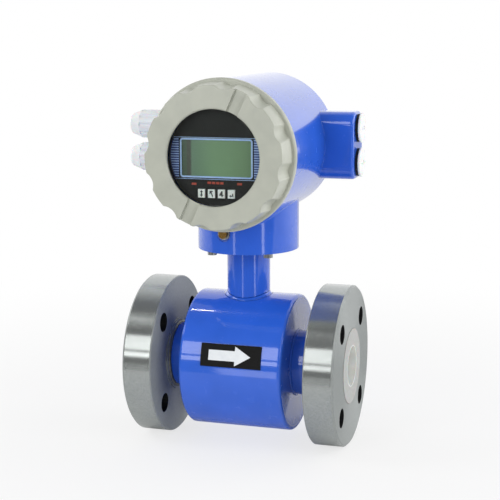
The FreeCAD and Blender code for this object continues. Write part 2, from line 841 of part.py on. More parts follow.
def cut_chambers(body):
    """Electronics chamber in front, terminal chamber behind, and the two cable boxes with their entries."""
    front = -size.barrel_front
    thread_end = front + size.front_thread_depth + size.spigot_wall
    turned_groove(body, "front_chamber", [
        (front, 0), (front, thread_radius), (thread_end, thread_radius), (thread_end, front_cavity_radius),
        (partition_front, front_cavity_radius), (partition_front, 0)])
    back = size.barrel_back
    rear_cavity_radius = rear_thread_radius - size.spigot_wall / 2
    rear_thread_end = back - size.rear_thread_depth - size.hole_allowance
    turned_groove(body, "rear_chamber", [
        (back, 0), (back, rear_thread_radius), (rear_thread_end, rear_thread_radius),
        (rear_thread_end, rear_cavity_radius), (size.partition_back, rear_cavity_radius),
        (size.partition_back, 0)])
    chamber = add_sketch(body, "box_chamber_outline", "YZ_Plane")
    low_y = size.box_front + size.box_wall
    depth = rear_thread_end - low_y
    draw_rectangle(chamber, (low_y + depth / 2, as_length(0)), depth, size.box_height - size.box_wall * 2)
    pocket(body, "box_chambers", chamber, (size.box_reach - size.entry_wall) * 2, both_ways=True)
    entries = add_sketch(body, "entry_circles", "YZ_Plane")
    for up in (-1, 1):
        draw_circle(entries, (box_middle, size.entry_spacing / 2 * up), entry_radius)
    pocket(body, "entries", entries, size.box_reach * 2, both_ways=True)


def cut_boss(body):
    """Recess for the neck plate, the hollow above it, the lead's hole and four tapped holes."""
    recess = add_sketch(body, "recess_circle", "XY_Plane", -size.boss_drop)
    draw_circle(recess, (0, 0), neck_plate_radius + size.fit_gap)
    pocket(body, "recess", recess, boss_shoulder - boss_bottom, backwards=True)
    hollow = add_sketch(body, "hollow_circle", "XY_Plane", -size.boss_drop)
    draw_circle(hollow, (0, 0), boss_bore_radius)
    pocket(body, "hollow", hollow, size.boss_drop - barrel_radius, backwards=True)
    lead = add_sketch(body, "lead_circle", "XY_Plane", -size.boss_drop)
    draw_circle(lead, (0, -size.lead_shift), size.lead_hole / 2)
    pocket(body, "lead_hole", lead, size.boss_drop - barrel_radius + size.lead_hole, backwards=True)
    tapped = add_sketch(body, "tapped_circle", "XY_Plane", -size.boss_drop)
    screw_x = neck_screw_radius * math.sqrt(0.5)
    draw_circle(tapped, (screw_x, screw_x), size.neck_screw / 2 + size.fit_gap)
    first = pocket(body, "tapped_hole", tapped, size.neck_screw_length + size.hole_allowance, backwards=True)
    repeat_round(body, "tapped_holes", first, "Z_Axis", 4)


def add_board_posts(body):
    """Four posts on the partition that carry the stack of boards."""
    posts = add_sketch(body, "post_circles", "XZ_Plane", -power_board_back)
    for right in (-1, 1):
        for up in (-1, 1):
            middle = (size.pillar_shift_x * right, size.pillar_shift_z * up)
            draw_circle(posts, middle, size.post_diameter / 2)
    pad(body, "posts", posts, partition_front - power_board_back, backwards=True)


def cut_earth_seat(body):
    """Flat seat and tapped hole for the earth screw, low on the boss's front."""
    seat = add_sketch(body, "earth_seat_circle", "XZ_Plane", earth_seat)
    middle = (-size.earth_shift, -size.earth_drop)
    draw_circle(seat, middle, size.earth_seat_diameter / 2)
    pocket(body, "earth_seat", seat, size.earth_seat_depth + size.overcut, backwards=True)
    hole = add_sketch(body, "earth_hole_circle", "XZ_Plane", earth_seat)
    draw_circle(hole, middle, size.earth_screw / 2 + size.fit_gap)
    pocket(body, "earth_hole", hole, size.earth_screw_length + size.hole_allowance)


def make_earth_screw():
    at = (-size.earth_shift, -earth_seat, size.head_height - size.earth_drop)
    shank = size.earth_screw / 2
    thickness = size.earth_washer_thickness
    keep(turned("earth_washer", "Y", ring_outline(-thickness, 0, shank + size.fit_gap,
                                                  size.earth_washer_diameter / 2), at))
    head_end = -thickness - size.earth_screw_head_depth
    body = turned("earth_screw", "Y", [
        (size.earth_screw_length - thickness, 0), (size.earth_screw_length - thickness, shank),
        (-thickness, shank), (-thickness, size.earth_screw_head / 2), (head_end, size.earth_screw_head / 2),
        (head_end, 0)], at)
    slot = add_sketch(body, "slot_outline", "XZ_Plane", -head_end)
    draw_rectangle(slot, (as_length(0), as_length(0)), size.earth_screw_head + size.overcut,
                   size.earth_slot_width)
    pocket(body, "slot", slot, size.earth_slot_depth)
    keep(body)


# ---------------------------------------------------------------- covers


def scallop(body, face_y, rim_y, root_radius):
    """Finger flutes all round a cover, deepest at its face, with their edges rounded."""
    flutes = add_sketch(body, "flute_circle", "XZ_Plane", -rim_y)
    reach = (root_radius - size.scallop_depth + size.scallop_radius)
    angle = math.radians(90 - size.scallop_turn.number)
    draw_circle(flutes, (reach * math.cos(angle), reach * math.sin(angle)), size.scallop_radius)
    outwards = face_y.number < rim_y.number
    length = rim_y - face_y if outwards else face_y - rim_y
    first = pocket(body, "flute", flutes, length, backwards=outwards, TaperAngle=size.scallop_taper)
    repeat_round(body, "flutes", first, "Y_Axis", size.scallop_count)
    low, high = sorted([face_y.number, rim_y.number])

    def on_flute(edge):
        box = edge.BoundBox
        nearest = min(math.hypot(vertex.X, vertex.Z) for vertex in edge.Vertexes)
        return box.YLength > (high - low) * 0.9 and box.YMin > low - 0.01 and nearest > flute_floor

    flute_floor = (root_radius - size.scallop_depth * 3).number
    round_edges(body, "flute_edges", size.scallop_rounding, on_flute)

    def on_face(edge):
        box = edge.BoundBox
        nearest = min(math.hypot(vertex.X, vertex.Z) for vertex in edge.Vertexes)
        return box.YLength < 0.01 and abs(box.YMin - face_y.number) < 0.01 and nearest > flute_floor

    round_edges(body, "face_edge", size.cover_edge, on_face)


def cut_tool_slots(body, face_y, reach):
    """Two slots in line across a cover's face, for a spanner."""
    slots = add_sketch(body, "slot_outline", "XZ_Plane", -face_y)
    angle = math.radians(90 - size.scallop_turn.number - 180 / size.scallop_count.number)
    corners = []
    for along, across in ((-1, -1), (1, -1), (1, 1), (-1, 1)):
        far = reach * along
        wide = size.slot_width / 2 * across
        corners.append((far * math.cos(angle) - wide * math.sin(angle),
                        far * math.sin(angle) + wide * math.cos(angle)))
    draw_polygon(slots, corners)
    pocket(body, "tool_slots", slots, size.slot_depth, backwards=face_y.number > 0)


def seal_groove(seat, inwards, radius):
    """Corners of the seal's groove behind a rim, in order along the spigot."""
    near = seat + inwards * size.running_gap
    far = near + inwards * (size.seal_width + size.running_gap * 2)
    floor = radius - size.seal_depth
    return [(near, radius), (near, floor), (far, floor), (far, radius)]


def make_front_cover():
    """Scalloped screw cover with a round window."""
    spigot_bore = spigot_radius - size.spigot_wall
    spigot_end = rim_seat + size.front_thread_depth
    rim_front = rim_seat - size.cover_rim_depth
    outline = [(cover_face, window_radius + size.cover_edge),
               (cover_face, cover_face_radius),
               (rim_front, cover_root_radius),
               (rim_front, cover_rim_radius - size.cover_edge),
               (rim_front + size.cover_edge, cover_rim_radius),
               (rim_seat, cover_rim_radius)]
    outline += [(rim_seat, spigot_radius)] + seal_groove(rim_seat, 1, spigot_radius)
    outline += [(spigot_end, spigot_radius), (spigot_end, spigot_bore), (ring_back, spigot_bore),
                (ring_back, glass_pocket_radius), (glass_seat, glass_pocket_radius),
                (glass_seat, window_radius), (cover_face + size.cover_edge, window_radius)]
    body = turned("front_cover", "Y", outline, head)
    scallop(body, cover_face, rim_front, cover_root_radius)
    cut_tool_slots(body, cover_face, cover_root_radius + size.cover_edge)
    keep(body)


def make_window():
    """Gasket, glass and the threaded ring that holds it."""
    glass_radius = size.glass_diameter / 2
    keep(turned("glass_gasket", "Y", ring_outline(glass_seat, glass_front, window_radius + size.fit_gap,
                                                  glass_radius), head))
    keep(turned("window_glass", "Y", [(glass_front, 0), (glass_front, glass_radius),
                                      (glass_back, glass_radius), (glass_back, 0)], head))
    ring = turned("glass_ring", "Y", ring_outline(glass_back, ring_back, size.ring_bore / 2, glass_radius),
                  head)
    notch = add_sketch(ring, "notch_outline", "XZ_Plane", -ring_back)
    draw_rectangle(notch, (as_length(0), as_length(0)), size.glass_diameter + size.overcut,
                   size.notch_width)
    pocket(ring, "spanner_notches", notch, size.notch_depth, backwards=True)
    keep(ring)


def make_seal(name, seat, inwards, radius):
    """Sealing ring in the groove behind a cover's rim."""
    near = seat + inwards * (size.running_gap * 2)
    far = near + inwards * size.seal_width
    keep(turned(name, "Y", ring_outline(near, far, radius - size.seal_depth + size.running_gap, radius),
                head))


def make_rear_cover():
    """Blind scalloped screw cover over the terminal chamber."""
    seat = size.barrel_back + size.running_gap
    rim_back = seat + size.cover_rim_depth
    face = seat + size.rear_depth
    radius = rear_thread_radius - size.running_gap
    spigot_end = seat - size.rear_thread_depth
    spigot_bore = radius - size.spigot_wall
    outline = [(face, 0), (face, rear_face_radius),
               (rim_back, rear_root_radius), (rim_back, rear_rim_radius),
               (seat, rear_rim_radius), (seat, radius)]
    outline += seal_groove(seat, -1, radius)
    outline += [(spigot_end, radius), (spigot_end, spigot_bore), (face - size.cover_wall, spigot_bore),
                (face - size.cover_wall, 0)]
    body = turned("rear_cover", "Y", outline, head)
    scallop(body, face, rim_back, rear_root_radius)
    keep(body)
    make_seal("rear_seal", seat, -1, radius)


# ---------------------------------------------------------------- display and boards


def key_places():
    """Middle of each key along X, from left to right, and their shared height."""
    return [size.key_shift_x + size.key_pitch * (step - 1.5) for step in range(4)], -size.key_drop


def make_panel():
    """Black panel with the LCD's window and the four key holes."""
    body = new_body("display_panel", head)
    disc = add_sketch(body, "disc_circle", "XZ_Plane", -panel_face)
    draw_circle(disc, (0, 0), size.panel_diameter / 2)
    pad(body, "disc", disc, size.panel_thickness, backwards=True)
    window = add_sketch(body, "window_outline", "XZ_Plane", -panel_face)
    draw_rectangle(window, (size.lcd_shift_x, size.lcd_shift_z), size.lcd_width, size.lcd_height)
    pocket(body, "window", window, size.panel_thickness)
    keys = add_sketch(body, "key_outlines", "XZ_Plane", -panel_face)
    middles, height = key_places()
    gap = size.running_gap * 2
    for middle in middles:
        draw_rectangle(keys, (middle, height), size.key_width + gap, size.key_height + gap)
    pocket(body, "key_holes", keys, size.panel_thickness)
    keep(body)


def make_keys():
    """Four keys, each held behind the panel by its flange, with a stem that enters its switch."""
    middles, height = key_places()
    flange_front = panel_back + size.running_gap
    flange_back = flange_front + size.key_flange_thickness
    stem_end = display_board_front - size.switch_height + size.key_travel
    for number, middle in enumerate(middles, start=1):
        body = new_body(f"key_{number}", head)
        cap = add_sketch(body, "cap_outline", "XZ_Plane", -flange_back)
        draw_rectangle(cap, (middle, height), size.key_width, size.key_height)
        pad(body, "cap", cap, flange_back - panel_face + size.key_rise)
        flange = add_sketch(body, "flange_outline", "XZ_Plane", -flange_back)
        draw_rectangle(flange, (middle, height), size.key_flange_width,
                       size.key_height + size.key_flange_width - size.key_width)
        pad(body, "flange", flange, size.key_flange_thickness)
        stem = add_sketch(body, "stem_circle", "XZ_Plane", -stem_end)
        draw_circle(stem, (middle, height), size.key_stem / 2)
        pad(body, "stem", stem, stem_end - flange_front)
        keep(body)


def make_switches():
    """Key switches on the display board, each with a hole for its key's stem."""
    middles, height = key_places()
    members = []
    for number, middle in enumerate(middles, start=1):
        body = new_body(f"key_switch_{number}", head)
        case = add_sketch(body, "case_outline", "XZ_Plane", -display_board_front)
        draw_rectangle(case, (middle, height), size.switch_width, size.switch_width)
        pad(body, "case", case, size.switch_height)
        hole = add_sketch(body, "hole_circle", "XZ_Plane", size.switch_height - display_board_front)
        draw_circle(hole, (middle, height), size.key_stem / 2 + size.running_gap)
        pocket(body, "hole", hole, size.switch_hole_depth)
        members.append(body)
    grouped("key_switches", members)


def make_lcd():
    """LCD glass in the panel's window, seated in a metal frame on the display board."""
    front = panel_face + size.lcd_recess
    back = front + size.lcd_thickness
    middle = (size.lcd_shift_x, size.lcd_shift_z)
    glass_width = size.lcd_width - size.fit_gap * 2
    glass_height = size.lcd_height - size.fit_gap * 2
    glass = new_body("lcd_glass", head)
    face = add_sketch(glass, "outline", "XZ_Plane", -back)
    draw_rectangle(face, middle, glass_width, glass_height)
    pad(glass, "slab", face, size.lcd_thickness)
    keep(glass)
    frame = new_body("lcd_frame", head)
    border = size.lcd_frame_border * 2
    outside = add_sketch(frame, "outline", "XZ_Plane", -display_board_front)
    draw_rectangle(outside, middle, size.lcd_width + border, size.lcd_height + border)
    pad(frame, "block", outside, size.spacer_depth)
    seat = add_sketch(frame, "seat_outline", "XZ_Plane", -panel_back)
    draw_rectangle(seat, middle, size.lcd_width, size.lcd_height)
    pocket(frame, "seat", seat, back - panel_back)
    keep(frame)


def pillar_group(name, front, back, diameter):
    members = []
    for number, (right, up) in enumerate([(1, 1), (-1, 1), (-1, -1), (1, -1)], start=1):
        at = (size.pillar_shift_x * right, 0, size.head_height + size.pillar_shift_z * up)
        outline = [(front, 0), (front, diameter / 2), (back, diameter / 2), (back, 0)]
        members.append(turned(f"{name}_{number}", "Y", outline, at))
    return members


def make_boards():
    """Round boards stacked on pillars behind the panel."""
    boards = [("display_board", display_board_front, display_board_back, size.display_board_diameter),
              ("main_board", main_board_front, main_board_back, size.main_board_diameter),
              ("power_board", power_board_front, power_board_back, size.main_board_diameter)]
    for name, front, back, diameter in boards:
        board = turned(name, "Y", [(front, 0), (front, diameter / 2), (back, diameter / 2), (back, 0)], head)
        if name == "power_board":
            hole = add_sketch(board, "lead_circle", "XZ_Plane", -front)
            draw_circle(hole, (0, -size.lead_hole), size.lead_diameter / 2 + size.running_gap)
            pocket(board, "lead_hole", hole, size.board_thickness)
        keep(board)
    grouped("panel_spacers", pillar_group("panel_spacer", panel_back, display_board_front,
                                          size.spacer_diameter))
    grouped("board_pillars",
            pillar_group("front_pillar", display_board_back, main_board_front, size.spacer_diameter)
            + pillar_group("back_pillar", main_board_back, power_board_front, size.spacer_diameter))
    transformer = new_body("power_transformer", head)
    core = add_sketch(transformer, "outline", "XZ_Plane", -power_board_front)
    draw_rectangle(core, (as_length(0), as_length(0)), size.transformer_width, size.transformer_height)
    pad(transformer, "core", core, size.transformer_depth)
    keep(transformer)


def make_terminals():
    """Terminal block on the partition, with a row of screws."""
    block = new_body("terminal_block", head)
    outline = add_sketch(block, "outline", "XZ_Plane", -size.partition_back)
    draw_rectangle(outline, (as_length(0), as_length(0)), size.terminal_width, size.terminal_height)
    pad(block, "block", outline, size.terminal_depth, backwards=True)
    face = size.partition_back + size.terminal_depth
    holes = add_sketch(block, "screw_circles", "XZ_Plane", -face)
    count = int(size.terminal_count.number)
    pitch = size.terminal_width / size.terminal_count
    shifts = [pitch * (step - (count - 1) / 2) for step in range(count)]
    for shift in shifts:
        draw_circle(holes, (shift, 0), size.terminal_screw / 2 + size.fit_gap)
    pocket(block, "screw_holes", holes, size.terminal_hole_depth, backwards=True)
    keep(block)
    bottom = face - size.terminal_hole_depth
    top = bottom + size.terminal_screw_length
    screws = []
    for number, shift in enumerate(shifts, start=1):
        corners = [(bottom, 0), (bottom, size.terminal_screw / 2), (top, size.terminal_screw / 2), (top, 0)]
        screws.append(turned(f"terminal_screw_{number}", "Y", corners, (shift, 0, size.head_height)))
    grouped("terminal_screws", screws)


# ---------------------------------------------------------------- cable glands and plugs


def entry_point(up):
    return (0, box_middle, size.head_height + size.entry_spacing / 2 * up)


def make_gland(name, up):
    """Nylon cable gland on the inlet side: body, rubber seal and cap nut."""
    at = entry_point(up)
    wall = -size.box_reach
    shoulder = wall - size.gland_hex_depth
    bore = size.gland_bore / 2
    stub_end = shoulder - size.gland_stub_length
    thread_end = wall + size.gland_thread_depth
    body = turned(f"{name}_gland_body", "X", [
        (thread_end, bore), (thread_end, entry_radius - size.fit_gap), (wall, entry_radius - size.fit_gap),
        (wall, size.gland_stub_diameter / 2), (stub_end, size.gland_stub_diameter / 2), (stub_end, bore)], at)
    hexagon = add_sketch(body, "hex_outline", "YZ_Plane", shoulder)
    corner = size.gland_hex / math.sqrt(3)
    angles = [math.radians(60 * step) for step in range(6)]
    draw_polygon(hexagon, [(corner * math.cos(angle), corner * math.sin(angle)) for angle in angles])
    draw_circle(hexagon, (0, 0), bore)
    pad(body, "hex", hexagon, size.gland_hex_depth)
    keep(body)
    make_gland_nut(name, at, shoulder, stub_end)


def make_gland_nut(name, at, shoulder, stub_end):
    """Domed cap nut with finger grips, and the seal that it presses into the body."""
    start = shoulder - size.running_gap
    end = start - size.gland_nut_length
    dome_start = end + size.gland_dome_length
    thread = size.gland_stub_diameter / 2 + size.running_gap
    seal_outer = size.gland_bore / 2 - size.running_gap
    outer = size.gland_nut_diameter / 2
    mouth = size.gland_mouth / 2
    dome = size.gland_dome_diameter / 2
    edge = size.gland_dome_edge
    nut = turned(f"{name}_gland_nut", "X", [
        (start, thread), (start, outer), (dome_start, outer), (end + edge, dome + edge), (end, dome),
        (end, mouth), (end + size.tube_wall, mouth), (dome_start, thread)], at)
    grips = add_sketch(nut, "grip_circle", "YZ_Plane", dome_start)
    reach = outer - size.grip_depth + size.grip_radius
    draw_circle(grips, (reach, 0), size.grip_radius)
    first = pocket(nut, "grip", grips, start - dome_start, backwards=True)
    repeat_round(nut, "grips", first, "X_Axis", size.grip_count)
    keep(nut)
    collar = size.gland_stub_diameter / 2 - size.running_gap
    collar_start = stub_end - size.running_gap
    collar_end = dome_start + size.running_gap
    hole = size.gland_seal_bore / 2
    seal_end = end + size.tube_wall + size.running_gap
    keep(turned(f"{name}_gland_seal", "X", [
        (shoulder, hole), (shoulder, seal_outer), (collar_start, seal_outer), (collar_start, collar),
        (collar_end, collar), (seal_end, mouth - size.running_gap), (seal_end, hole)], at))


def make_plug(name, up):
    """Screwed blind plug on the outlet side, with its sealing washer."""
    at = entry_point(up)
    wall = size.box_reach
    washer_start = wall + size.fit_gap
    washer_end = washer_start + size.washer_thickness
    head_start = washer_end + size.fit_gap
    head_end = head_start + size.plug_head
    stem = entry_radius - size.running_gap
    keep(turned(f"{name}_plug_washer", "X", ring_outline(washer_start, washer_end, entry_radius,
                                                         size.washer_diameter / 2), at))
    thread_end = wall - size.plug_thread_depth
    bore = size.plug_bore / 2
    rim = size.plug_diameter / 2
    edge = size.plug_head_edge
    body = turned(f"{name}_plug", "X", [
        (thread_end, bore), (thread_end, stem), (head_start, stem), (head_start, rim),
        (head_end - edge, rim), (head_end, rim - edge), (head_end, 0), (head_start, 0), (head_start, bore)],
        at)
    slot = add_sketch(body, "slot_outline", "YZ_Plane", head_end)
    draw_rectangle(slot, (as_length(0), as_length(0)), size.plug_bore, size.plug_slot)
    pocket(body, "slot", slot, size.plug_slot_depth)
    keep(body)


# ---------------------------------------------------------------- build, check and write


def build():
    make_measuring_tube()
    make_liner()
    for name, side in (("inlet", -1), ("outlet", 1)):
        make_flange(f"{name}_flange", side)
        make_sleeve(f"{name}_sleeve", side)
        make_end_plate(f"{name}_end_plate", side)
    make_shell()
    for name, side in (("upper", 1), ("lower", -1)):
        make_pole(f"{name}_pole", side)
        make_coil(f"{name}_coil", side)
    make_yoke()
    make_electrodes()
    make_arrow_plate()
    make_neck_weld()
    make_neck()
    make_sensor_lead()
    make_housing()
    make_earth_screw()
    make_front_cover()
    make_window()
    make_seal("front_seal", rim_seat, 1, spigot_radius)
    make_rear_cover()
    make_panel()
    make_keys()
    make_switches()
    make_lcd()
    make_boards()
    make_terminals()
    for name, up in (("upper", 1), ("lower", -1)):
        make_gland(name, up)
        make_plug(name, up)
    doc.recompute()


def check():
    """Stop if any object failed, any cut removed nothing, or any piece isn't a valid solid."""
    for item in doc.Objects:
        if "Invalid" in item.State or "Error" in item.State:
            raise RuntimeError(f"{item.Label}: {item.State}")
        if item.TypeId in ("PartDesign::Pocket", "PartDesign::Groove"):
            before = item.BaseFeature.Shape.Volume
            if item.Shape.Volume > before - 0.001:
                raise RuntimeError(f"{item.Label} cuts nothing")
    for piece in pieces:
        if piece.Shape.isNull() or not piece.Shape.isValid() or not piece.Shape.Solids:
            raise RuntimeError(f"{piece.Label} has no valid solid")


def write():
    os.makedirs("parts", exist_ok=True)
    for piece in pieces:
        piece.Shape.exportStep(f"parts/{piece.Label}.step")
        print(f"{piece.Label}: {len(piece.Shape.Solids)} solids, {piece.Shape.Volume:.0f} mm3")


build()
check()
write()
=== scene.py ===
# %% [markdown]
# # A flanged electromagnetic flow meter
#
# A magnetic flow meter measures how fast water runs through a lined steel pipe. The lower half is
# the sensor: two bolted flanges, and a painted barrel with the coils in it. The upper half is the
# converter: a cast aluminium housing with a window, a display and four keys.
#
# The solids come finished from CAD, each at its real place. This lesson gives every one of them its
# finish, adds the printing and the weld beads, and sets up the light and the camera.

# %% Load the frame
import json
import math

import bmesh
import bpy
from mathutils import Matrix, Vector


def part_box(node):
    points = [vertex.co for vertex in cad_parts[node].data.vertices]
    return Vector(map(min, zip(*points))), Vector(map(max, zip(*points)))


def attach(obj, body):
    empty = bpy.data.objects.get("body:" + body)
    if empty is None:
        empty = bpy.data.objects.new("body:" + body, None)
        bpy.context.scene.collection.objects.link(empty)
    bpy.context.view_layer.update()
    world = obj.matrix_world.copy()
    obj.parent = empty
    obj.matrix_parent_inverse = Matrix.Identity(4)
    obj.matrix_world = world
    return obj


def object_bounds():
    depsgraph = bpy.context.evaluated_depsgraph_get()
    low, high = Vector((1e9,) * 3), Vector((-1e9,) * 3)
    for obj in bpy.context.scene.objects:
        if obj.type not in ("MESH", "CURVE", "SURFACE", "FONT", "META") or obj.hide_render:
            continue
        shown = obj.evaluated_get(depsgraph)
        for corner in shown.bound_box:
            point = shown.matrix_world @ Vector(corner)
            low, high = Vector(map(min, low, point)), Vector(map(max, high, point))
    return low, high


MM = 0.001

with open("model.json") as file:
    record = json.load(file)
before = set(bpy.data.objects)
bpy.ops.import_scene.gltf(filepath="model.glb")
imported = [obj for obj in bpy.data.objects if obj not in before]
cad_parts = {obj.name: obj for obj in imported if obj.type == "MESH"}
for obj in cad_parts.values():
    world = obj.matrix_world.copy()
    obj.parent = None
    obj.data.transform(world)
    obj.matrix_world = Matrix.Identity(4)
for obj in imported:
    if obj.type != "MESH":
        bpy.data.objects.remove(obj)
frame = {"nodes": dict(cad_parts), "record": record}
nodes = frame["nodes"]


def corners(box):
    """A box of two vectors as plain lists of numbers."""
    return [[float(value) for value in corner] for corner in box]


cad_box = corners(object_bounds())

# %% [markdown]
# ## Two helpers for every finish
#
# Colours are written as the hex numbers that a paint chart or a screen shows. Blender's shaders
# work with linear light, so one function converts them. Materials could be wired by hand in the
# shader editor, but a script can be read, compared and changed. A second function therefore adds
# any node, with its settings and with what feeds its sockets, so a material reads like a recipe.


# %% Colours and nodes
def linear(hex_colour):
    """An sRGB colour such as #2C50C6 as linear red, green, blue and alpha."""
    light = []
    for at in (1, 3, 5):
        part = int(hex_colour[at : at + 2], 16) / 255
        light.append(part / 12.92 if part <= 0.04045 else ((part + 0.055) / 1.055) ** 2.4)
    return [*light, 1.0]


def add_node(tree, kind, settings=None, feeds=None, stops=()):
    """Adds one node to a material.

    feeds maps a socket's name or number to a value, or to the socket that feeds it. stops are the
    places and hex colours along a colour ramp.
    """
    node = tree.nodes.new(kind)
    for name, value in (settings or {}).items():
        setattr(node, name, value)
    for key, value in (feeds or {}).items():
        if isinstance(value, bpy.types.NodeSocket):
            tree.links.new(value, node.inputs[key])
        else:
            node.inputs[key].default_value = value
    for number, (position, hex_colour) in enumerate(stops):
        ramp = node.color_ramp.elements
        stop = ramp[number] if number < len(ramp) else ramp.new(position)
        stop.position = position
        stop.color = linear(hex_colour)
    return node


def new_finish(name, **constants):
    """A material with one Principled shader. The constants go on its own sockets."""
    material = bpy.data.materials.new(name)
    material.use_nodes = True
    tree = material.node_tree
    shader = tree.nodes["Principled BSDF"]
    for key, value in constants.items():
        shader.inputs[key.replace("_", " ").title().replace("Ior", "IOR")].default_value = value
    print("new finish:", name)
    return material, tree, shader


print("the colour #2C50C6 in linear light:", [round(part, 3) for part in linear("#2C50C6")])

# %% [markdown]
# ## The camera
#
# The camera stands to the right and a little above the head, about 1.1 m away, with a long lens:
# the near flange is hardly larger than the far one, but the sides still run together a little. It
# could follow a target with a constraint, but three turns and one place say exactly where it looks.
# It is made first, so that each later step can be looked at.

# %% Camera
CAMERA_PLACE = (0.3391, -1.0921, 0.3113)
CAMERA_YAW = 0.300
CAMERA_PITCH = 0.179
CAMERA_ROLL = -0.004
LENS_MM = 89.22

camera_data = bpy.data.cameras.new("camera")
camera_data.lens = LENS_MM
camera_data.sensor_width = 36.0
camera = bpy.data.objects.new("camera", camera_data)
turned = (
    Matrix.Rotation(CAMERA_YAW, 4, "Z")
    @ Matrix.Rotation(math.pi / 2 - CAMERA_PITCH, 4, "X")
    @ Matrix.Rotation(CAMERA_ROLL, 4, "Z")
)
camera.matrix_world = Matrix.Translation(CAMERA_PLACE) @ turned
bpy.context.scene.collection.objects.link(camera)
bpy.context.scene.camera = camera
bpy.context.scene.view_settings.view_transform = "Standard"
print("camera at", CAMERA_PLACE, "lens", LENS_MM, "mm")

# %% [markdown]
# ## The studio
#
# The flow meter stands on pale paper that runs off into a white backdrop. It could be one curved
# sheet under strong lamps, but then its whiteness would hang on every lamp. Here the paper glows by
# itself where the camera looks at it, the more the further it is from the meter, and the matt part
# that is mixed in keeps the soft shadow under the flanges. In reflections it does not glow.
#
# The room in front of the meter is dark and the wall behind it is white, so a reflection on a round
# rim falls from white at its edge to dark in its middle: that contrast makes metal read as metal.
# For the same reason the table ends a little in front of the meter for every ray but the camera's.


# %% One answer for each kind of ray
def by_ray(tree, others, camera_sees, metal_shows):
    """A value for the camera's rays and those through glass, one for reflections, one for the rest."""
    path = add_node(tree, "ShaderNodeLightPath")
    rays = {0: path.outputs["Is Camera Ray"], 1: path.outputs["Is Transmission Ray"]}
    direct = add_node(tree, "ShaderNodeMath", {"operation": "MAXIMUM"}, rays)
    first = add_node(tree, "ShaderNodeMix", feeds={0: direct.outputs[0], 2: others, 3: camera_sees})
    reflected = {0: path.outputs["Is Glossy Ray"], 2: first.outputs[0], 3: metal_shows}
    return add_node(tree, "ShaderNodeMix", feeds=reflected).outputs[0]


WHITE_LIGHT = linear("#FFFFFF")
print("rays told apart: camera and glass, reflections, all others")

# %% Floor
FLOOR_HALF = 4.0
TABLE_FRONT = -0.33
SHADOW_START = 0.25
SHADOW_END = 0.80
PAPER_GLOW = 0.72
BOUNCE_GLOW = 0.35


def studio_paper():
    """Uncoated white paper, pressed flat. The eye gets a soft shadow near the meter, then pure white."""
    material, tree, shader = new_finish("studio_paper", base_color=linear("#F0F0F0"), roughness=0.9)
    glow = add_node(tree, "ShaderNodeEmission", feeds={"Color": WHITE_LIGHT, "Strength": 1.0})
    place = add_node(tree, "ShaderNodeTexCoord").outputs["Object"]
    away = add_node(tree, "ShaderNodeVectorMath", {"operation": "LENGTH"}, {0: place})
    share = add_node(
        tree,
        "ShaderNodeMapRange",
        {"interpolation_type": "SMOOTHSTEP"},
        {
            "Value": away.outputs["Value"],
            "From Min": SHADOW_START,
            "From Max": SHADOW_END,
            "To Min": PAPER_GLOW,
            "To Max": 1.0,
        },
    )
    glowing = by_ray(tree, BOUNCE_GLOW, share.outputs[0], 0.0)
    sheet = {0: glowing, 1: shader.outputs[0], 2: glow.outputs[0]}
    paper = add_node(tree, "ShaderNodeMixShader", feeds=sheet)

    depth = add_node(tree, "ShaderNodeSeparateXYZ", feeds={0: place}).outputs["Y"]
    in_front = add_node(tree, "ShaderNodeMath", {"operation": "LESS_THAN"}, {0: depth, 1: TABLE_FRONT})
    camera_ray = add_node(tree, "ShaderNodeLightPath").outputs["Is Camera Ray"]
    past_table = add_node(
        tree,
        "ShaderNodeMath",
        {"operation": "SUBTRACT", "use_clamp": True},
        {0: in_front.outputs[0], 1: camera_ray},
    )
    clear = add_node(tree, "ShaderNodeBsdfTransparent")
    surface = {0: past_table.outputs[0], 1: paper.outputs[0], 2: clear.outputs[0]}
    whole = add_node(tree, "ShaderNodeMixShader", feeds=surface)
    tree.links.new(whole.outputs[0], tree.nodes["Material Output"].inputs["Surface"])
    return material


floor_z = cad_box[0][2]
directions = ((-1, -1), (1, -1), (1, 1), (-1, 1))
floor_corners = [(x * FLOOR_HALF, y * FLOOR_HALF, floor_z) for x, y in directions]
floor_mesh = bpy.data.meshes.new("studio_floor")
floor_mesh.from_pydata(floor_corners, [], [(0, 1, 2, 3)])
floor_mesh.materials.append(studio_paper())
floor = bpy.data.objects.new("studio_floor", floor_mesh)
bpy.context.scene.collection.objects.link(floor)
print("floor at", round(floor_z / MM, 1), "mm")

# %% Backdrop
ROOM_LIGHT = 0.58
DARK_SIDE = 0.15
WHITE_WALL = 1.12
WALL_FROM = 0.5

world = bpy.data.worlds.new("studio")
bpy.context.scene.world = world
world.use_nodes = True
sky = world.node_tree
direction = add_node(sky, "ShaderNodeTexCoord").outputs["Generated"]
along = add_node(sky, "ShaderNodeSeparateXYZ", feeds={0: direction})
wall_share = add_node(
    sky,
    "ShaderNodeMapRange",
    feeds={
        "Value": along.outputs["Y"],
        "From Min": 0.0,
        "From Max": WALL_FROM,
        "To Min": DARK_SIDE,
        "To Max": WHITE_WALL,
    },
)
backdrop = sky.nodes["Background"]
backdrop.inputs["Color"].default_value = WHITE_LIGHT
sky.links.new(by_ray(sky, ROOM_LIGHT, 1.0, wall_share.outputs[0]), backdrop.inputs["Strength"])
print("room light", ROOM_LIGHT, "wall", WHITE_WALL, "dark side", DARK_SIDE)

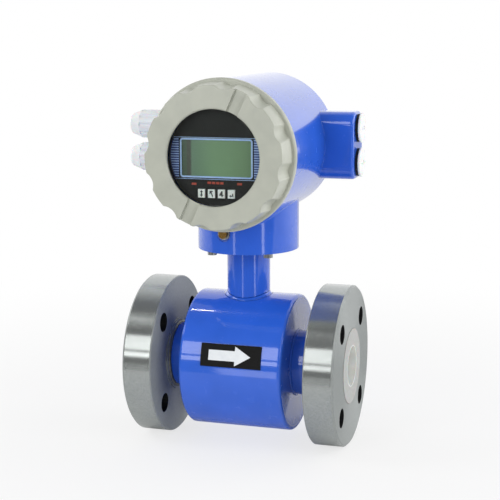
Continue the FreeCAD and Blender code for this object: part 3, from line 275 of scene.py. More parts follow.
# %% [markdown]
# ## Softboxes and lamps
#
# Shiny cylinders show what stands around them, so each lamp is placed for its reflection. A picture
# of a studio could light the scene at once, but area lamps can be moved one by one.
#
# - Two panes to the left behind the camera give the bright band on rims and barrel, with a dark
#   line where they part, and a low strip lifts the rims below it.
# - A strip on the right draws the long highlight on the right-hand sides.
# - The key light models the matt cover, and the right fill opens the shadow on the outlet face.
# - Two boxes at the back light the flanks.
# - The overhead lamp gives the short streak high on the barrel. It stands for a thin strip held
#   close over the barrel, so it lights nothing else.

# %% Softboxes
LIGHTS = {
    # name: (place, aim, width, height, radiance)
    "lower_pane": ((-0.70, -2.00, 0.30), (-0.35, 0.0, 0.30), 0.78, 0.24, 3.9),
    "upper_pane": ((-0.70, -2.00, 0.97), (-0.35, 0.0, 0.82), 0.78, 0.86, 3.4),
    "low_strip": ((-0.47, -1.70, -0.38), (0.0, 0.0, 0.0), 0.16, 0.50, 2.2),
    "right_strip": ((1.02, -0.86, 0.15), (0.0, 0.0, 0.15), 0.14, 1.20, 3.0),
    "overhead_lamp": ((-0.66, 0.17, 1.86), (-0.66, 0.0, 0.1), 0.18, 0.02, 60.0),
    "key_light": ((-1.58, -0.70, 1.50), (0.0, 0.0, 0.1), 0.70, 0.60, 4.0),
    "right_fill": ((1.70, -0.55, 0.85), (0.0, 0.0, 0.15), 0.90, 0.90, 1.9),
    "right_back_box": ((1.50, 0.90, 0.60), (0.0, 0.0, 0.1), 1.20, 1.20, 1.9),
    "left_back_box": ((-1.60, 0.60, 0.60), (0.0, 0.0, 0.1), 1.00, 1.20, 1.2),
}


def add_softbox(name, place, aim, width, height, radiance):
    """A rectangular lamp that faces its aim. Its radiance is what a mirror would show."""
    data = bpy.data.lights.new(name, "AREA")
    data.shape = "RECTANGLE"
    data.size = width
    data.size_y = height
    # A lamp of one square metre needs 4 W for a radiance of 1.
    data.energy = 4.0 * radiance * width * height
    lamp = bpy.data.objects.new(name, data)
    lamp.location = place
    lamp.rotation_euler = (Vector(aim) - Vector(place)).to_track_quat("-Z", "Y").to_euler()
    lamp.visible_camera = False
    bpy.context.scene.collection.objects.link(lamp)
    return lamp


softboxes = {name: add_softbox(name, *light) for name, light in LIGHTS.items()}
barrel_only = bpy.data.collections.new("barrel_only")
barrel_only.objects.link(nodes["sensor_shell"])
softboxes["overhead_lamp"].light_linking.receiver_collection = barrel_only
softboxes["overhead_lamp"].light_linking.blocker_collection = barrel_only
print("lamps:", ", ".join(softboxes))

# %% [markdown]
# ## A skin for every finish
#
# No real surface is one flat colour. Its tone and its gloss drift in soft patches, a fine grain
# breaks up its highlights, and its edges are a little round and catch the light. Painted pictures
# could carry all that, but every piece would have to be unwrapped for them. Noise in the piece's
# own coordinates needs no unwrapping, moves with the piece, and takes its size in real millimetres.
# One function lays the skin, and each finish gives it its own sizes. The patches are the slow drift
# that spraying, moulding or handling leaves, a few millimetres to a few centimetres wide.

# %% Skin
PATCH_LOW = 0.3
PATCH_HIGH = 0.7
NOISE_ROUGHNESS = 0.55
BEVEL_SAMPLES = 6


def soft_edges(tree, edge_mm, height, strength, depth_mm):
    """A normal that is rounded at the edges, with the bumps of height on top."""
    rounded = add_node(tree, "ShaderNodeBevel", {"samples": BEVEL_SAMPLES}, {"Radius": edge_mm * MM})
    return add_node(
        tree,
        "ShaderNodeBump",
        feeds={
            "Strength": strength,
            "Distance": depth_mm * MM,
            "Height": height,
            "Normal": rounded.outputs[0],
        },
    ).outputs[0]


def lay_skin(tree, shader, colours, gloss, grain, edge_mm, detail=2.0):
    """Drifting colour and gloss, a fine grain and soft edges. Gives back the normal.

    colours are the dark one, the light one and the size of a patch. gloss is the lowest and the
    highest roughness and the size of a patch. grain is its size, its strength and its depth.
    """
    dark, light, colour_mm = colours
    smooth, rough, gloss_mm = gloss
    grain_mm, strength, depth_mm = grain
    place = add_node(tree, "ShaderNodeTexCoord").outputs["Object"]
    noises = []
    for size_mm, octaves in ((colour_mm, detail), (gloss_mm, detail), (grain_mm, 1.0)):
        feeds = {"Vector": place, "Scale": 1 / (size_mm * MM), "Detail": octaves}
        feeds["Roughness"] = NOISE_ROUGHNESS
        noises.append(add_node(tree, "ShaderNodeTexNoise", feeds=feeds).outputs[0])
    clouds, wear, bumps = noises

    stops = ((PATCH_LOW, dark), (PATCH_HIGH, light))
    tone = add_node(tree, "ShaderNodeValToRGB", feeds={0: clouds}, stops=stops)
    sheen = add_node(tree, "ShaderNodeMapRange", feeds={"Value": wear, "To Min": smooth, "To Max": rough})
    normal = soft_edges(tree, edge_mm, bumps, strength, depth_mm)
    tree.links.new(tone.outputs[0], shader.inputs["Base Color"])
    tree.links.new(sheen.outputs[0], shader.inputs["Roughness"])
    tree.links.new(normal, shader.inputs["Normal"])
    return normal


print("patches run from", PATCH_LOW, "to", PATCH_HIGH, "of the noise")

# %% [markdown]
# ## Blue enamel
#
# The housing, the neck and the barrel are sprayed with a glossy polyester enamel and baked. Such a
# coat is smooth but not flat: it dries with a faint orange peel, waves of 1 to 2 mm that make the
# highlights tremble, and it draws back from every edge into a small radius.
#
# A single glossy layer could stand for it, but pigment under clear resin has one sharp reflection
# from the resin's skin and almost none from the pigment. So the clear coat of the shader carries
# the gloss at full weight, and the layer below keeps only a weak sheen. The peel bends both.

# %% Enamel
ORANGE_PEEL_MM = 1.6
ENAMEL_EDGE_MM = 0.7


def blue_enamel():
    """Baked polyester enamel, sprayed. The eye gets deep blue under one sharp, trembling reflection."""
    material, tree, shader = new_finish(
        "blue_enamel", ior=1.5, specular_ior_level=0.15, coat_weight=1.0, coat_roughness=0.06
    )
    colours = ("#275DCC", "#2D63D7", 35.0)
    waves = (ORANGE_PEEL_MM, 0.04, 0.01)
    peel = lay_skin(tree, shader, colours, (0.22, 0.30, 9.0), waves, ENAMEL_EDGE_MM)
    tree.links.new(peel, shader.inputs["Coat Normal"])
    return material


blue_paint = blue_enamel()

# %% [markdown]
# ## Grey powder coat
#
# The front cover is cast aluminium with a warm grey powder coat. Powder melts into a satin skin
# with a fine leathery grain of about half a millimetre. It could be sculpted into the mesh, but that
# would take millions of faces, so a bump carries it. It is drawn 0.9 mm wide so that it shows.

# %% Powder coat
POWDER_GRAIN_MM = 0.9
POWDER_EDGE_MM = 0.5


def grey_powder_coat():
    """Baked powder paint. The eye gets a warm light grey with broad, soft highlights."""
    material, tree, shader = new_finish("grey_powder_coat", ior=1.5, coat_weight=0.4, coat_roughness=0.18)
    colours = ("#AEB1A5", "#B6B9AC", 14.0)
    grain = (POWDER_GRAIN_MM, 0.3, 0.03)
    lay_skin(tree, shader, colours, (0.38, 0.50, 5.0), grain, POWDER_EDGE_MM)
    return material


grey_paint = grey_powder_coat()

# %% [markdown]
# ## Turned steel
#
# The flanges are carbon steel, faced and turned on a lathe. The tool leaves rings round the axis on
# the faces and bands along it on the rims, about 0.2 mm apart. That is finer than a render of the
# whole meter can show, so the grooves are drawn 1.2 mm apart. Anisotropy stretches each highlight
# across the grooves, which a bump alone can't do.
#
# A flange isn't equally bright all over. The rims are clean metal. The faces carry a film of oil, so they
# look dull and hardly metallic, and their tone is painted darker, as shade. The drilled bolt holes are
# painted near black, as the shade inside them. Three materials on chosen faces could show that, but one
# material that measures where it is keeps the edges between the zones exact: how far from the axis, and
# which way the surface faces.

# %% Grooves and distance from the axis
GROOVE_MM = 1.2
GROOVE_WOBBLE = 0.4
ACROSS_AXIS = (0.0, 1.0, 1.0)


def turning_grooves(tree):
    """Grooves round the X axis: rings on the faces and bands along the rims, added up."""
    # At a scale of 1 the wave texture repeats every pi / 10 of a metre.
    feeds = {
        "Vector": add_node(tree, "ShaderNodeTexCoord").outputs["Object"],
        "Scale": math.pi / (10.0 * GROOVE_MM * MM),
        "Distortion": GROOVE_WOBBLE,
        "Detail": 2.0,
        "Detail Scale": 3.0,
    }
    as_rings = {"wave_type": "RINGS", "rings_direction": "X", "wave_profile": "SAW"}
    as_bands = {"wave_type": "BANDS", "bands_direction": "X", "wave_profile": "SAW"}
    rings = add_node(tree, "ShaderNodeTexWave", as_rings, feeds)
    bands = add_node(tree, "ShaderNodeTexWave", as_bands, feeds)
    both = {0: rings.outputs["Fac"], 1: bands.outputs["Fac"]}
    return add_node(tree, "ShaderNodeMath", {"operation": "ADD"}, both).outputs[0]


def from_axis(tree):
    """The distance from the bore's axis, in metres."""
    place = add_node(tree, "ShaderNodeTexCoord").outputs["Object"]
    flat = add_node(tree, "ShaderNodeVectorMath", {"operation": "MULTIPLY"}, {0: place, 1: ACROSS_AXIS})
    far = add_node(tree, "ShaderNodeVectorMath", {"operation": "LENGTH"}, {0: flat.outputs[0]})
    return far.outputs["Value"]


flange_low, flange_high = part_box("outlet_flange")
flange_radius = (flange_high.z - flange_low.z) / 2
print("flange radius:", round(flange_radius / MM, 1), "mm, grooves", GROOVE_MM, "mm apart")

# %% Rims, oiled faces and shaded holes
# The bolt holes lie well between these shares of the flange's radius.
HOLES_FROM = 0.55
HOLES_TO = 0.93


def steel_zones(tree):
    """Two shares: how far the surface faces along the axis, and how far it is turned, not drilled."""
    normal = add_node(tree, "ShaderNodeNewGeometry").outputs["Normal"]
    facing = add_node(tree, "ShaderNodeSeparateXYZ", feeds={0: normal}).outputs["X"]
    on_face = add_node(tree, "ShaderNodeMath", {"operation": "ABSOLUTE"}, {0: facing}).outputs[0]
    radius = from_axis(tree)
    rim_starts = {0: radius, 1: HOLES_TO * flange_radius}
    hub_ends = {0: radius, 1: HOLES_FROM * flange_radius}
    outside = add_node(tree, "ShaderNodeMath", {"operation": "GREATER_THAN"}, rim_starts).outputs[0]
    near_hub = add_node(tree, "ShaderNodeMath", {"operation": "LESS_THAN"}, hub_ends).outputs[0]
    either = {"operation": "ADD", "use_clamp": True}
    not_drilled = add_node(tree, "ShaderNodeMath", either, {0: outside, 1: near_hub}).outputs[0]
    lathe_turned = add_node(tree, "ShaderNodeMath", either, {0: not_drilled, 1: on_face}).outputs[0]
    return on_face, lathe_turned


hole_zone = [round(share * flange_radius / MM, 1) for share in (HOLES_FROM, HOLES_TO)]
print("oxide in holes that lie between", hole_zone, "mm from the axis")

# %% Turned steel
# How far each zone looks like bare metal: thin oil dims the rims a little and the faces a lot.
RIM_METAL = 0.82
FACE_METAL = 0.20
RIM_SMOOTH = 0.20
RIM_ROUGH = 0.27
FACE_ROUGHNESS = 0.55
HOLE_ROUGHNESS = 0.8
# A real grain of tenths of a millimetre, shown coarser so that it can be seen.
STEEL_GRAIN_MM = 1.6
STEEL_EDGE_MM = 0.6
# The darkest and the lightest tone of each zone. The faces' tones are painted darker, as shade, and the
# holes' near black is painted shade.
RIM_TONES = ("#A0A5A3", "#B2B6B4")
FACE_SHADE_TONES = ("#8C9190", "#9B9F9E")
HOLE_SHADE_TONES = ("#232425", "#343536")


def turned_steel():
    """Carbon steel, lathe turned. The eye gets bright banded rims, dull oiled faces toned down by painted
    shade, and holes painted dark as shade.
    """
    material, tree, shader = new_finish("turned_steel", anisotropic=0.95, anisotropic_rotation=0.25)
    on_face, lathe_turned = steel_zones(tree)
    grain_feeds = {
        "Vector": add_node(tree, "ShaderNodeTexCoord").outputs["Object"],
        "Scale": 1 / (STEEL_GRAIN_MM * MM),
        "Detail": 4.0,
        "Roughness": NOISE_ROUGHNESS,
    }
    grain = add_node(tree, "ShaderNodeTexNoise", feeds=grain_feeds).outputs[0]
    tones = []
    for dark, light in (RIM_TONES, FACE_SHADE_TONES, HOLE_SHADE_TONES):
        stops = ((PATCH_LOW, dark), (PATCH_HIGH, light))
        tones.append(add_node(tree, "ShaderNodeValToRGB", feeds={0: grain}, stops=stops).outputs[0])
    rim, face, painted_shade = tones

    mixed_colour = {"data_type": "RGBA"}
    # Faces take the darker tones and the drilled holes the near black: both are painted shade.
    clean = add_node(tree, "ShaderNodeMix", mixed_colour, {0: on_face, 6: rim, 7: face}).outputs[2]
    tone = add_node(tree, "ShaderNodeMix", mixed_colour, {0: lathe_turned, 6: painted_shade, 7: clean}).outputs[2]
    tree.links.new(tone, shader.inputs["Base Color"])

    metal = add_node(tree, "ShaderNodeMix", feeds={0: on_face, 2: RIM_METAL, 3: FACE_METAL})
    tree.links.new(metal.outputs[0], shader.inputs["Metallic"])

    polish = {"Value": grain, "To Min": RIM_SMOOTH, "To Max": RIM_ROUGH}
    rim_gloss = add_node(tree, "ShaderNodeMapRange", feeds=polish).outputs[0]
    gloss = add_node(tree, "ShaderNodeMix", feeds={0: on_face, 2: rim_gloss, 3: FACE_ROUGHNESS})
    zones = {0: lathe_turned, 2: HOLE_ROUGHNESS, 3: gloss.outputs[0]}
    tree.links.new(add_node(tree, "ShaderNodeMix", feeds=zones).outputs[0], shader.inputs["Roughness"])

    tangent = add_node(tree, "ShaderNodeTangent", {"direction_type": "RADIAL", "axis": "X"})
    tree.links.new(tangent.outputs[0], shader.inputs["Tangent"])
    grooves = soft_edges(tree, STEEL_EDGE_MM, turning_grooves(tree), 0.2, 0.03)
    tree.links.new(grooves, shader.inputs["Normal"])
    return material


flange_steel = turned_steel()

# %% [markdown]
# ## Small metal parts
#
# The other metals are stainless, zinc-plated steel, brass, soft iron and enamelled copper. Each could
# have a recipe of its own, as the flanges do, but they are small or hidden, and differ to the eye
# only in colour, gloss and grain. So they share one recipe. Drawn, plated and rolled metal has a
# grain of a tenth of a millimetre, and it is shown 0.5 to 0.8 mm wide, because it would be too fine.

# %% Small metals
METAL_PATCH_MM = 4.0
METAL_GLOSS_MM = 1.5
METAL_EDGE_MM = 0.2


def small_metal(name, dark, light, grain_mm, smooth, rough):
    """A small metal part. The eye gets two close colours in soft patches under a broken highlight."""
    material, tree, shader = new_finish(name, metallic=1.0)
    colours = (dark, light, METAL_PATCH_MM)
    gloss = (smooth, rough, METAL_GLOSS_MM)
    lay_skin(tree, shader, colours, gloss, (grain_mm, 0.2, 0.01), METAL_EDGE_MM, detail=3.0)
    return material


small_metals = {
    # Stainless tube and pillars, drawn: a pale, cool shine.
    "stainless": small_metal("stainless_steel", "#A9AAA8", "#B9BAB8", 0.6, 0.22, 0.34),
    # Zinc-plated steel screws and rings: a duller grey with soft highlights.
    "zinc_steel": small_metal("zinc_plated_steel", "#8F9190", "#A4A6A7", 0.5, 0.28, 0.42),
    # A turned brass screw that has tarnished: brown gold that is bright only where a lamp hits it.
    "brass": small_metal("tarnished_brass", "#6B532C", "#866A3A", 0.5, 0.22, 0.36),
    # Rolled soft iron in the poles and the yoke: dark, with almost no highlight.
    "soft_iron": small_metal("soft_iron", "#5E5C59", "#6E6C69", 0.8, 0.45, 0.60),
    # Enamelled copper wire, wound: a warm red brown under lacquer.
    "copper_coil": small_metal("enamelled_copper", "#A05A34", "#B56C42", 0.5, 0.25, 0.38),
}
print("small metals:", len(small_metals))

# %% [markdown]
# ## Plastics and rubber
#
# Glands and plugs are moulded nylon, keys are silicone, and the seals are rubber. White plastics let
# some light in before it comes back, which keeps their shadows pale: that is subsurface scattering,
# here about a millimetre deep. A paler colour could imitate it from one side only.
#
# A mould gives its plastic a grain of 0.1 to 0.2 mm, and it is shown 0.4 to 1.4 mm wide, because it
# would be too fine. One recipe serves every plastic, rubber, lacquer and ink, because they differ in
# colour, gloss, grain and depth of light alone.

# %% Plastics
SCATTER_MM = 1.2
POLYMER_PATCH_MM = 8.0
POLYMER_GLOSS_MM = 3.0
POLYMER_EDGE_MM = 0.35


def polymer(name, dark, light, grain_mm, smooth, rough, scatter=0.0, ior=1.5):
    """A plastic, rubber, lacquer or ink. The eye gets an even colour with a soft gloss."""
    material, tree, shader = new_finish(name, ior=ior, subsurface_weight=scatter)
    shader.inputs["Subsurface Scale"].default_value = SCATTER_MM * MM
    colours = (dark, light, POLYMER_PATCH_MM)
    gloss = (smooth, rough, POLYMER_GLOSS_MM)
    lay_skin(tree, shader, colours, gloss, (grain_mm, 0.2, 0.02), POLYMER_EDGE_MM)
    return material


plastics = {
    # Moulded nylon glands and plugs: milky white, softly glossy, with pale shadows.
    "nylon": polymer("moulded_nylon", "#E6E8E8", "#EEF0F0", 0.9, 0.34, 0.46, 0.25, 1.53),
    # Matt black polyester film on the panel: a black so dull that the window's reflections show. The
    # fine roughness of a matt face sends back less light, so its IOR is set below that of the resin.
    "black_panel": polymer("black_film", "#0B0C0B", "#101110", 0.5, 0.55, 0.65, ior=1.35),
    # Moulded white silicone keys: the whitest thing on the panel, matt, with soft edges.
    "key_plastic": polymer("white_silicone", "#FBFAF8", "#FFFEFC", 0.6, 0.40, 0.50, 0.1, 1.41),
    # Aluminium with dyed black anodising on the arrow plate: the dye hides the metal, so it looks flat
    # black. Its matt face gets a low IOR too.
    "black_plate": polymer("black_anodised_plate", "#0A0A0A", "#0E0E0E", 0.5, 0.62, 0.74, ior=1.35),
    # Moulded nitrile rubber seals: a dull dark line between two parts.
    "rubber": polymer("black_rubber", "#131416", "#1B1C1E", 0.7, 0.60, 0.75),
    # Glass-fibre board under solder lacquer: dark green with some gloss.
    "circuit_board": polymer("board_laminate", "#0D4A24", "#12542B", 0.9, 0.28, 0.38),
    # Moulded green polyamide terminals: a satin green.
    "terminal_plastic": polymer("green_polyamide", "#1C6B34", "#22763C", 0.7, 0.36, 0.46),
    # Extruded PVC round the sensor's lead: dark grey, satin.
    "lead_jacket": polymer("lead_jacket", "#1E1E20", "#27272A", 0.8, 0.45, 0.55),
}
print("plastics:", len(plastics))

# %% [markdown]
# ## The liner
#
# The liner is moulded PTFE, milky and waxy, and it turns out over both flange faces as a flare. In the
# bore it stays white. The flares face sideways, and the shade on them is painted as grey.
# The white could be split off as a piece of its own, but the real liner is one piece, so the grey
# grows in with the distance from the axis, just outside the bore.

# %% PTFE
WHITE_EDGE_MM = 1.5
SHADE_PATCH_MM = 3.0
liner_points = nodes["liner"].data.vertices
bore_radius = min(math.hypot(point.co.y, point.co.z) for point in liner_points)


def moulded_ptfe():
    """Moulded PTFE. The eye gets a milky white bore in a ring of grey, which is painted shade."""
    material = polymer("moulded_ptfe", "#E2E3E0", "#EBECE9", 1.4, 0.32, 0.42, 0.30, 1.35)
    tree = material.node_tree
    shader = tree.nodes["Principled BSDF"]
    white = shader.inputs["Base Color"].links[0].from_socket
    grey_from = bore_radius + WHITE_EDGE_MM * MM
    edge = {"Value": from_axis(tree), "From Min": bore_radius, "From Max": grey_from}
    flare_shade = add_node(tree, "ShaderNodeMapRange", feeds=edge)
    patch_feeds = {
        "Vector": add_node(tree, "ShaderNodeTexCoord").outputs["Object"],
        "Scale": 1 / (SHADE_PATCH_MM * MM),
        "Detail": 2.0,
        "Roughness": NOISE_ROUGHNESS,
    }
    patches = add_node(tree, "ShaderNodeTexNoise", feeds=patch_feeds)
    # The grey of the flares is painted shade.
    stops = ((PATCH_LOW, "#A2A3A0"), (PATCH_HIGH, "#B0B1AE"))
    grey = add_node(tree, "ShaderNodeValToRGB", feeds={0: patches.outputs[0]}, stops=stops)
    both = {0: flare_shade.outputs[0], 6: white, 7: grey.outputs[0]}
    tone = add_node(tree, "ShaderNodeMix", {"data_type": "RGBA"}, both)
    tree.links.new(tone.outputs[2], shader.inputs["Base Color"])
    return material


white_ptfe = moulded_ptfe()
print("bore radius:", round(bore_radius / MM, 2), "mm")

# %% [markdown]
# ## Display glass and window
#
# A liquid crystal display is two sheets of glass with a polariser behind them. Switched off, it is grey
# green, and the green drifts a little over its width. A strip at its left is painted darker, as the
# shadow of the edge in front of it. It could be built from layers, but behind the window only those tones
# can be told apart, so they follow one ramp from left to right.
#
# The window in the front cover is a disc of toughened glass. Real glass in a path tracer throws a
# shadow, because its bent light is hard to find. For lamps it is therefore clear, so the panel
# behind it is lit as in life.

# %% Display
# The first four stops are a painted shadow at the pane's left. The rest is the pane's grey green.
LCD_TONES_AND_SHADE = (
    (0.0, "#4B604D"),
    (0.065, "#4B604D"),
    (0.085, "#4B5047"),
    (0.125, "#4B5047"),
    (0.15, "#6A8A72"),
    (0.45, "#789B75"),
    (1.0, "#6E9068"),
)
lcd_low, lcd_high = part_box("lcd_glass")


def display_glass():
    """A reflective liquid crystal pane. The eye gets a soft grey green with a strip of painted shadow at
    its left.
    """
    material, tree, shader = new_finish("display_glass", ior=1.5, roughness=0.22, coat_weight=0.3)
    place = add_node(tree, "ShaderNodeTexCoord").outputs["Object"]
    sideways = add_node(tree, "ShaderNodeSeparateXYZ", feeds={0: place}).outputs["X"]
    width = {"Value": sideways, "From Min": lcd_low.x, "From Max": lcd_high.x}
    across = add_node(tree, "ShaderNodeMapRange", feeds=width)
    tone = add_node(tree, "ShaderNodeValToRGB", feeds={0: across.outputs[0]}, stops=LCD_TONES_AND_SHADE)
    tree.links.new(tone.outputs[0], shader.inputs["Base Color"])
    return material


lcd_pane = display_glass()
print("display glass:", round((lcd_high.x - lcd_low.x) / MM, 1), "mm wide")

# %% Window
GLASS_TINT = "#F4F8F6"


def window_glass():
    """Toughened soda-lime glass, polished. The eye gets reflections, and the panel through it."""
    material, tree, shader = new_finish(
        "window_glass", base_color=linear(GLASS_TINT), roughness=0.0, ior=1.5, transmission_weight=1.0
    )
    shadow_ray = add_node(tree, "ShaderNodeLightPath").outputs["Is Shadow Ray"]
    clear = add_node(tree, "ShaderNodeBsdfTransparent", feeds={"Color": linear(GLASS_TINT)})
    surface = {0: shadow_ray, 1: shader.outputs[0], 2: clear.outputs[0]}
    mixed = add_node(tree, "ShaderNodeMixShader", feeds=surface)
    tree.links.new(mixed.outputs[0], tree.nodes["Material Output"].inputs["Surface"])
    return material


window_pane = window_glass()
window_low, window_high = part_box("window_glass")
print("window:", round((window_high.x - window_low.x) / MM, 1), "mm across")

# %% [markdown]
# ## Each node gets its finish
#
# The record names a material slot for every node. The finishes could be handed out by name, one
# after the other, but one table from slot to finish dresses the whole meter, and a new node of a
# known slot needs no new line.

# %% Finishes by slot
FINISHES = {
    "blue_paint": blue_paint,
    "grey_paint": grey_paint,
    "turned_steel": flange_steel,
    "ptfe": white_ptfe,
    "lcd": lcd_pane,
    "window": window_pane,
    **small_metals,
    **plastics,
}

for part in frame["record"]["subparts"]:
    solid = nodes[part["node"]]
    solid.data.materials.clear()
    solid.data.materials.append(FINISHES[part["material_slot"]])

# %% [markdown]
# ## Sheets of print
#
# The panel's frame, its hatched fields and the red marks are screen printed on film, and the arrow is
# printed on its plate: ink of a few hundredths of a millimetre. A picture could carry the print, but
# its edges would blur close up, and it would be lost wherever only the mesh is used. So each colour
# is one thin closed sheet. It is drawn flat, cut where it has to bend, given its thickness, and then
# every point is sent to its place. Words and signs of the maker stay bare.

# %% From a flat outline to a piece
INK_MM = 0.06
INK_LIFT_MM = 0.03
SAME_POINT_MM = 0.001


def add_piece(name, shape, body, finish, smooth=False):
    """Turns a finished bmesh into a piece that rides on a body and its finish."""
    mesh = bpy.data.meshes.new(name)
    shape.to_mesh(mesh)
    shape.free()
    mesh.materials.append(finish)
    if smooth:
        mesh.shade_smooth()
    piece = bpy.data.objects.new(name, mesh)
    bpy.context.scene.collection.objects.link(piece)
    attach(piece, body)
    print(f"{name}: {len(mesh.polygons)} faces")
    return piece


def printed_sheet(name, outlines, wrap, body, finish, cuts=()):
    """Thin closed sheets from flat outlines in mm. wrap sends (across, up, out) in mm to its place."""
    sheet = bmesh.new()
    for outline in outlines:
        sheet.faces.new([sheet.verts.new((across, up, INK_LIFT_MM)) for across, up in outline])
    bmesh.ops.remove_doubles(sheet, verts=sheet.verts[:], dist=SAME_POINT_MM)
    for height in cuts:
        everything = sheet.verts[:] + sheet.edges[:] + sheet.faces[:]
        bmesh.ops.bisect_plane(sheet, geom=everything, plane_co=(0, height, 0), plane_no=(0, 1, 0))
    grown = bmesh.ops.extrude_face_region(sheet, geom=sheet.faces[:])["geom"]
    for item in grown:
        if isinstance(item, bmesh.types.BMVert):
            item.co.z += INK_MM
    for vertex in sheet.verts:
        vertex.co = wrap(*vertex.co)
    bmesh.ops.recalc_face_normals(sheet, faces=sheet.faces[:])
    return add_piece(name, sheet, body, finish)


print("ink:", INK_MM, "mm thick, lifted", INK_LIFT_MM, "mm")

# %% Inks
# Screen ink dries satin and covers well, so each is one flat colour with a soft gloss.
white_ink = polymer("white_ink", "#DDE2E6", "#E9EDEF", 0.4, 0.45, 0.55)
pale_blue_ink = polymer("pale_blue_ink", "#A8C8FF", "#B8D4FF", 0.4, 0.45, 0.55)
deep_blue_ink = polymer("deep_blue_ink", "#22377E", "#2A428E", 0.4, 0.45, 0.55)
red_ink = polymer("red_ink", "#B8391F", "#C64428", 0.4, 0.45, 0.55)
black_ink = polymer("black_ink", "#26282B", "#2F3135", 0.4, 0.45, 0.55)

# %% [markdown]
# ## The panel's side fields
#
# Left and right of the display, between its blue frame and the round edge of the panel, lies a field
# of deep blue with fine pale lines over it, like a grille. The lines could be a stripe pattern in
# the ink's material. As sheets of their own they stay crisp and end where the arc ends.

# %% The panel's face
# The sizes of the print are in mm, and its places are in mm from the panel's middle.
panel_low, panel_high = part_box("display_panel")
panel_z = (panel_low.z + panel_high.z) / 2 / MM
PRINT_MARGIN = 0.8
PRINT_RADIUS = (panel_high.x - panel_low.x) / 2 / MM - PRINT_MARGIN
FRAME_LEFT, FRAME_RIGHT, FRAME_LOW, FRAME_HIGH = -33.4, 32.2, -18.2, 15.8


def on_panel(across, up, out):
    """A place on the panel's face, out towards the viewer."""
    return (across * MM, panel_low.y - out * MM, (panel_z + up) * MM)


def half_chord(height, radius):
    """Half the width of a circle at a height above its middle."""
    return math.sqrt(radius**2 - height**2)


def bar(left, right, low, high):
    """The outline of a level bar."""
    return [(left, low), (right, low), (right, high), (left, high)]


print("print radius:", round(PRINT_RADIUS, 1), "mm, middle at", round(panel_z, 1), "mm")

# %% Side fields and hatching
FIELD_GAP = 1.1
ARC_STEPS = 10
HATCH_LINES = 16
HATCH_LINE = 0.75
HATCH_END = 0.6


def inner_end(side):
    """Where a side field starts, next to the frame. side is -1 on the left and 1 on the right."""
    return FRAME_LEFT - FIELD_GAP if side < 0 else FRAME_RIGHT + FIELD_GAP


def side_field(side):
    """A field between the blue frame and the panel's edge, bounded by the edge's arc."""
    arc = []
    for step in range(ARC_STEPS + 1):
        height = FRAME_LOW + (FRAME_HIGH - FRAME_LOW) * step / ARC_STEPS
        arc.append((side * half_chord(height, PRINT_RADIUS), height))
    return [(inner_end(side), FRAME_LOW), *arc, (inner_end(side), FRAME_HIGH)]


def hatch_lines(side):
    """Fine level lines across a side field."""
    lines = []
    for row in range(HATCH_LINES):
        middle = FRAME_LOW + (FRAME_HIGH - FRAME_LOW) * (row + 0.5) / HATCH_LINES
        far = side * (half_chord(abs(middle) + HATCH_LINE, PRINT_RADIUS) - HATCH_END)
        left, right = sorted((inner_end(side), far))
        lines.append(bar(left, right, middle - HATCH_LINE / 2, middle + HATCH_LINE / 2))
    return lines


def on_field(across, up, out):
    """A place on top of the ink of a side field."""
    return on_panel(across, up, out + INK_MM + INK_LIFT_MM)


fields = [side_field(-1), side_field(1)]
printed_sheet("panel_side_fields", fields, on_panel, "meter", deep_blue_ink)
hatching = hatch_lines(-1) + hatch_lines(1)
printed_sheet("panel_hatching", hatching, on_field, "meter", pale_blue_ink)

# %% [markdown]
# ## The panel's frame and rules
#
# A pale blue line with rounded corners runs round the display, and a thin rule above and below it
# runs on to the panel's edge. A curve with a bevel would make the frame too, but round like a wire.
# The print is flat, so the frame is a strip of quads between two rounded loops.

# %% Frame and rules
FRAME_LINE = 1.5
FRAME_CORNER = 2.6
CORNER_STEPS = 6
RULE = 0.5
RULE_BELOW = 1.1
RULE_ABOVE = 0.7


def rounded_loop(inset):
    """Points round the frame's rectangle, moved in by inset, with rounded corners."""
    radius = FRAME_CORNER - inset
    left, right = FRAME_LEFT + inset + radius, FRAME_RIGHT - inset - radius
    low, high = FRAME_LOW + inset + radius, FRAME_HIGH - inset - radius
    loop = []
    for quarter, (x, z) in enumerate(((right, high), (left, high), (left, low), (right, low))):
        for step in range(CORNER_STEPS + 1):
            angle = math.pi / 2 * (quarter + step / CORNER_STEPS)
            loop.append((x + radius * math.cos(angle), z + radius * math.sin(angle)))
    return loop


def frame_quads():
    """The frame line as a closed strip of quads between two rounded loops."""
    outer = rounded_loop(0.0)
    inner = rounded_loop(FRAME_LINE)
    ahead = [*range(1, len(outer)), 0]
    return [[outer[i], outer[j], inner[j], inner[i]] for i, j in enumerate(ahead)]


def rules():
    """Thin lines that carry the frame's bottom and top on to the panel's edge."""
    lines = []
    for height in (FRAME_LOW - RULE_BELOW, FRAME_HIGH + RULE_ABOVE):
        reach = half_chord(abs(height) + RULE, PRINT_RADIUS)
        lines.append(bar(-reach, reach, height - RULE / 2, height + RULE / 2))
    return lines


printed_sheet("panel_rules", rules(), on_panel, "meter", pale_blue_ink)
printed_sheet("panel_frame", frame_quads(), on_panel, "meter", pale_blue_ink)

# %% [markdown]
# ## The red marks
#
# Small red words stand under the display. They can't be read from where one stands, so plain bars
# of the words' length and height give the same red specks.

# %% Red marks
RED_MARK_HEIGHT = 1.9
RED_MARKS = (
    # left end, right end, lower edge
    (-23.0, -18.6, -24.6),
    (-8.6, -5.4, -23.4),
    (-4.6, -1.6, -23.4),
    (-0.8, 2.2, -23.4),
    (3.0, 5.9, -23.4),
    (18.2, 22.6, -23.6),
)
marks = [bar(left, right, low, low + RED_MARK_HEIGHT) for left, right, low in RED_MARKS]
printed_sheet("panel_red_marks", marks, on_panel, "meter", red_ink)

# %% [markdown]
# ## The flow arrow
#
# The arrow shows which way the water must run. It is printed in white on the black plate that is
# curved round the barrel. A Shrinkwrap modifier could press a flat arrow on to the plate, but its
# points would land unevenly. The sheet is cut every two millimetres and rolled up on the plate's
# own radius, which is measured from its mesh.

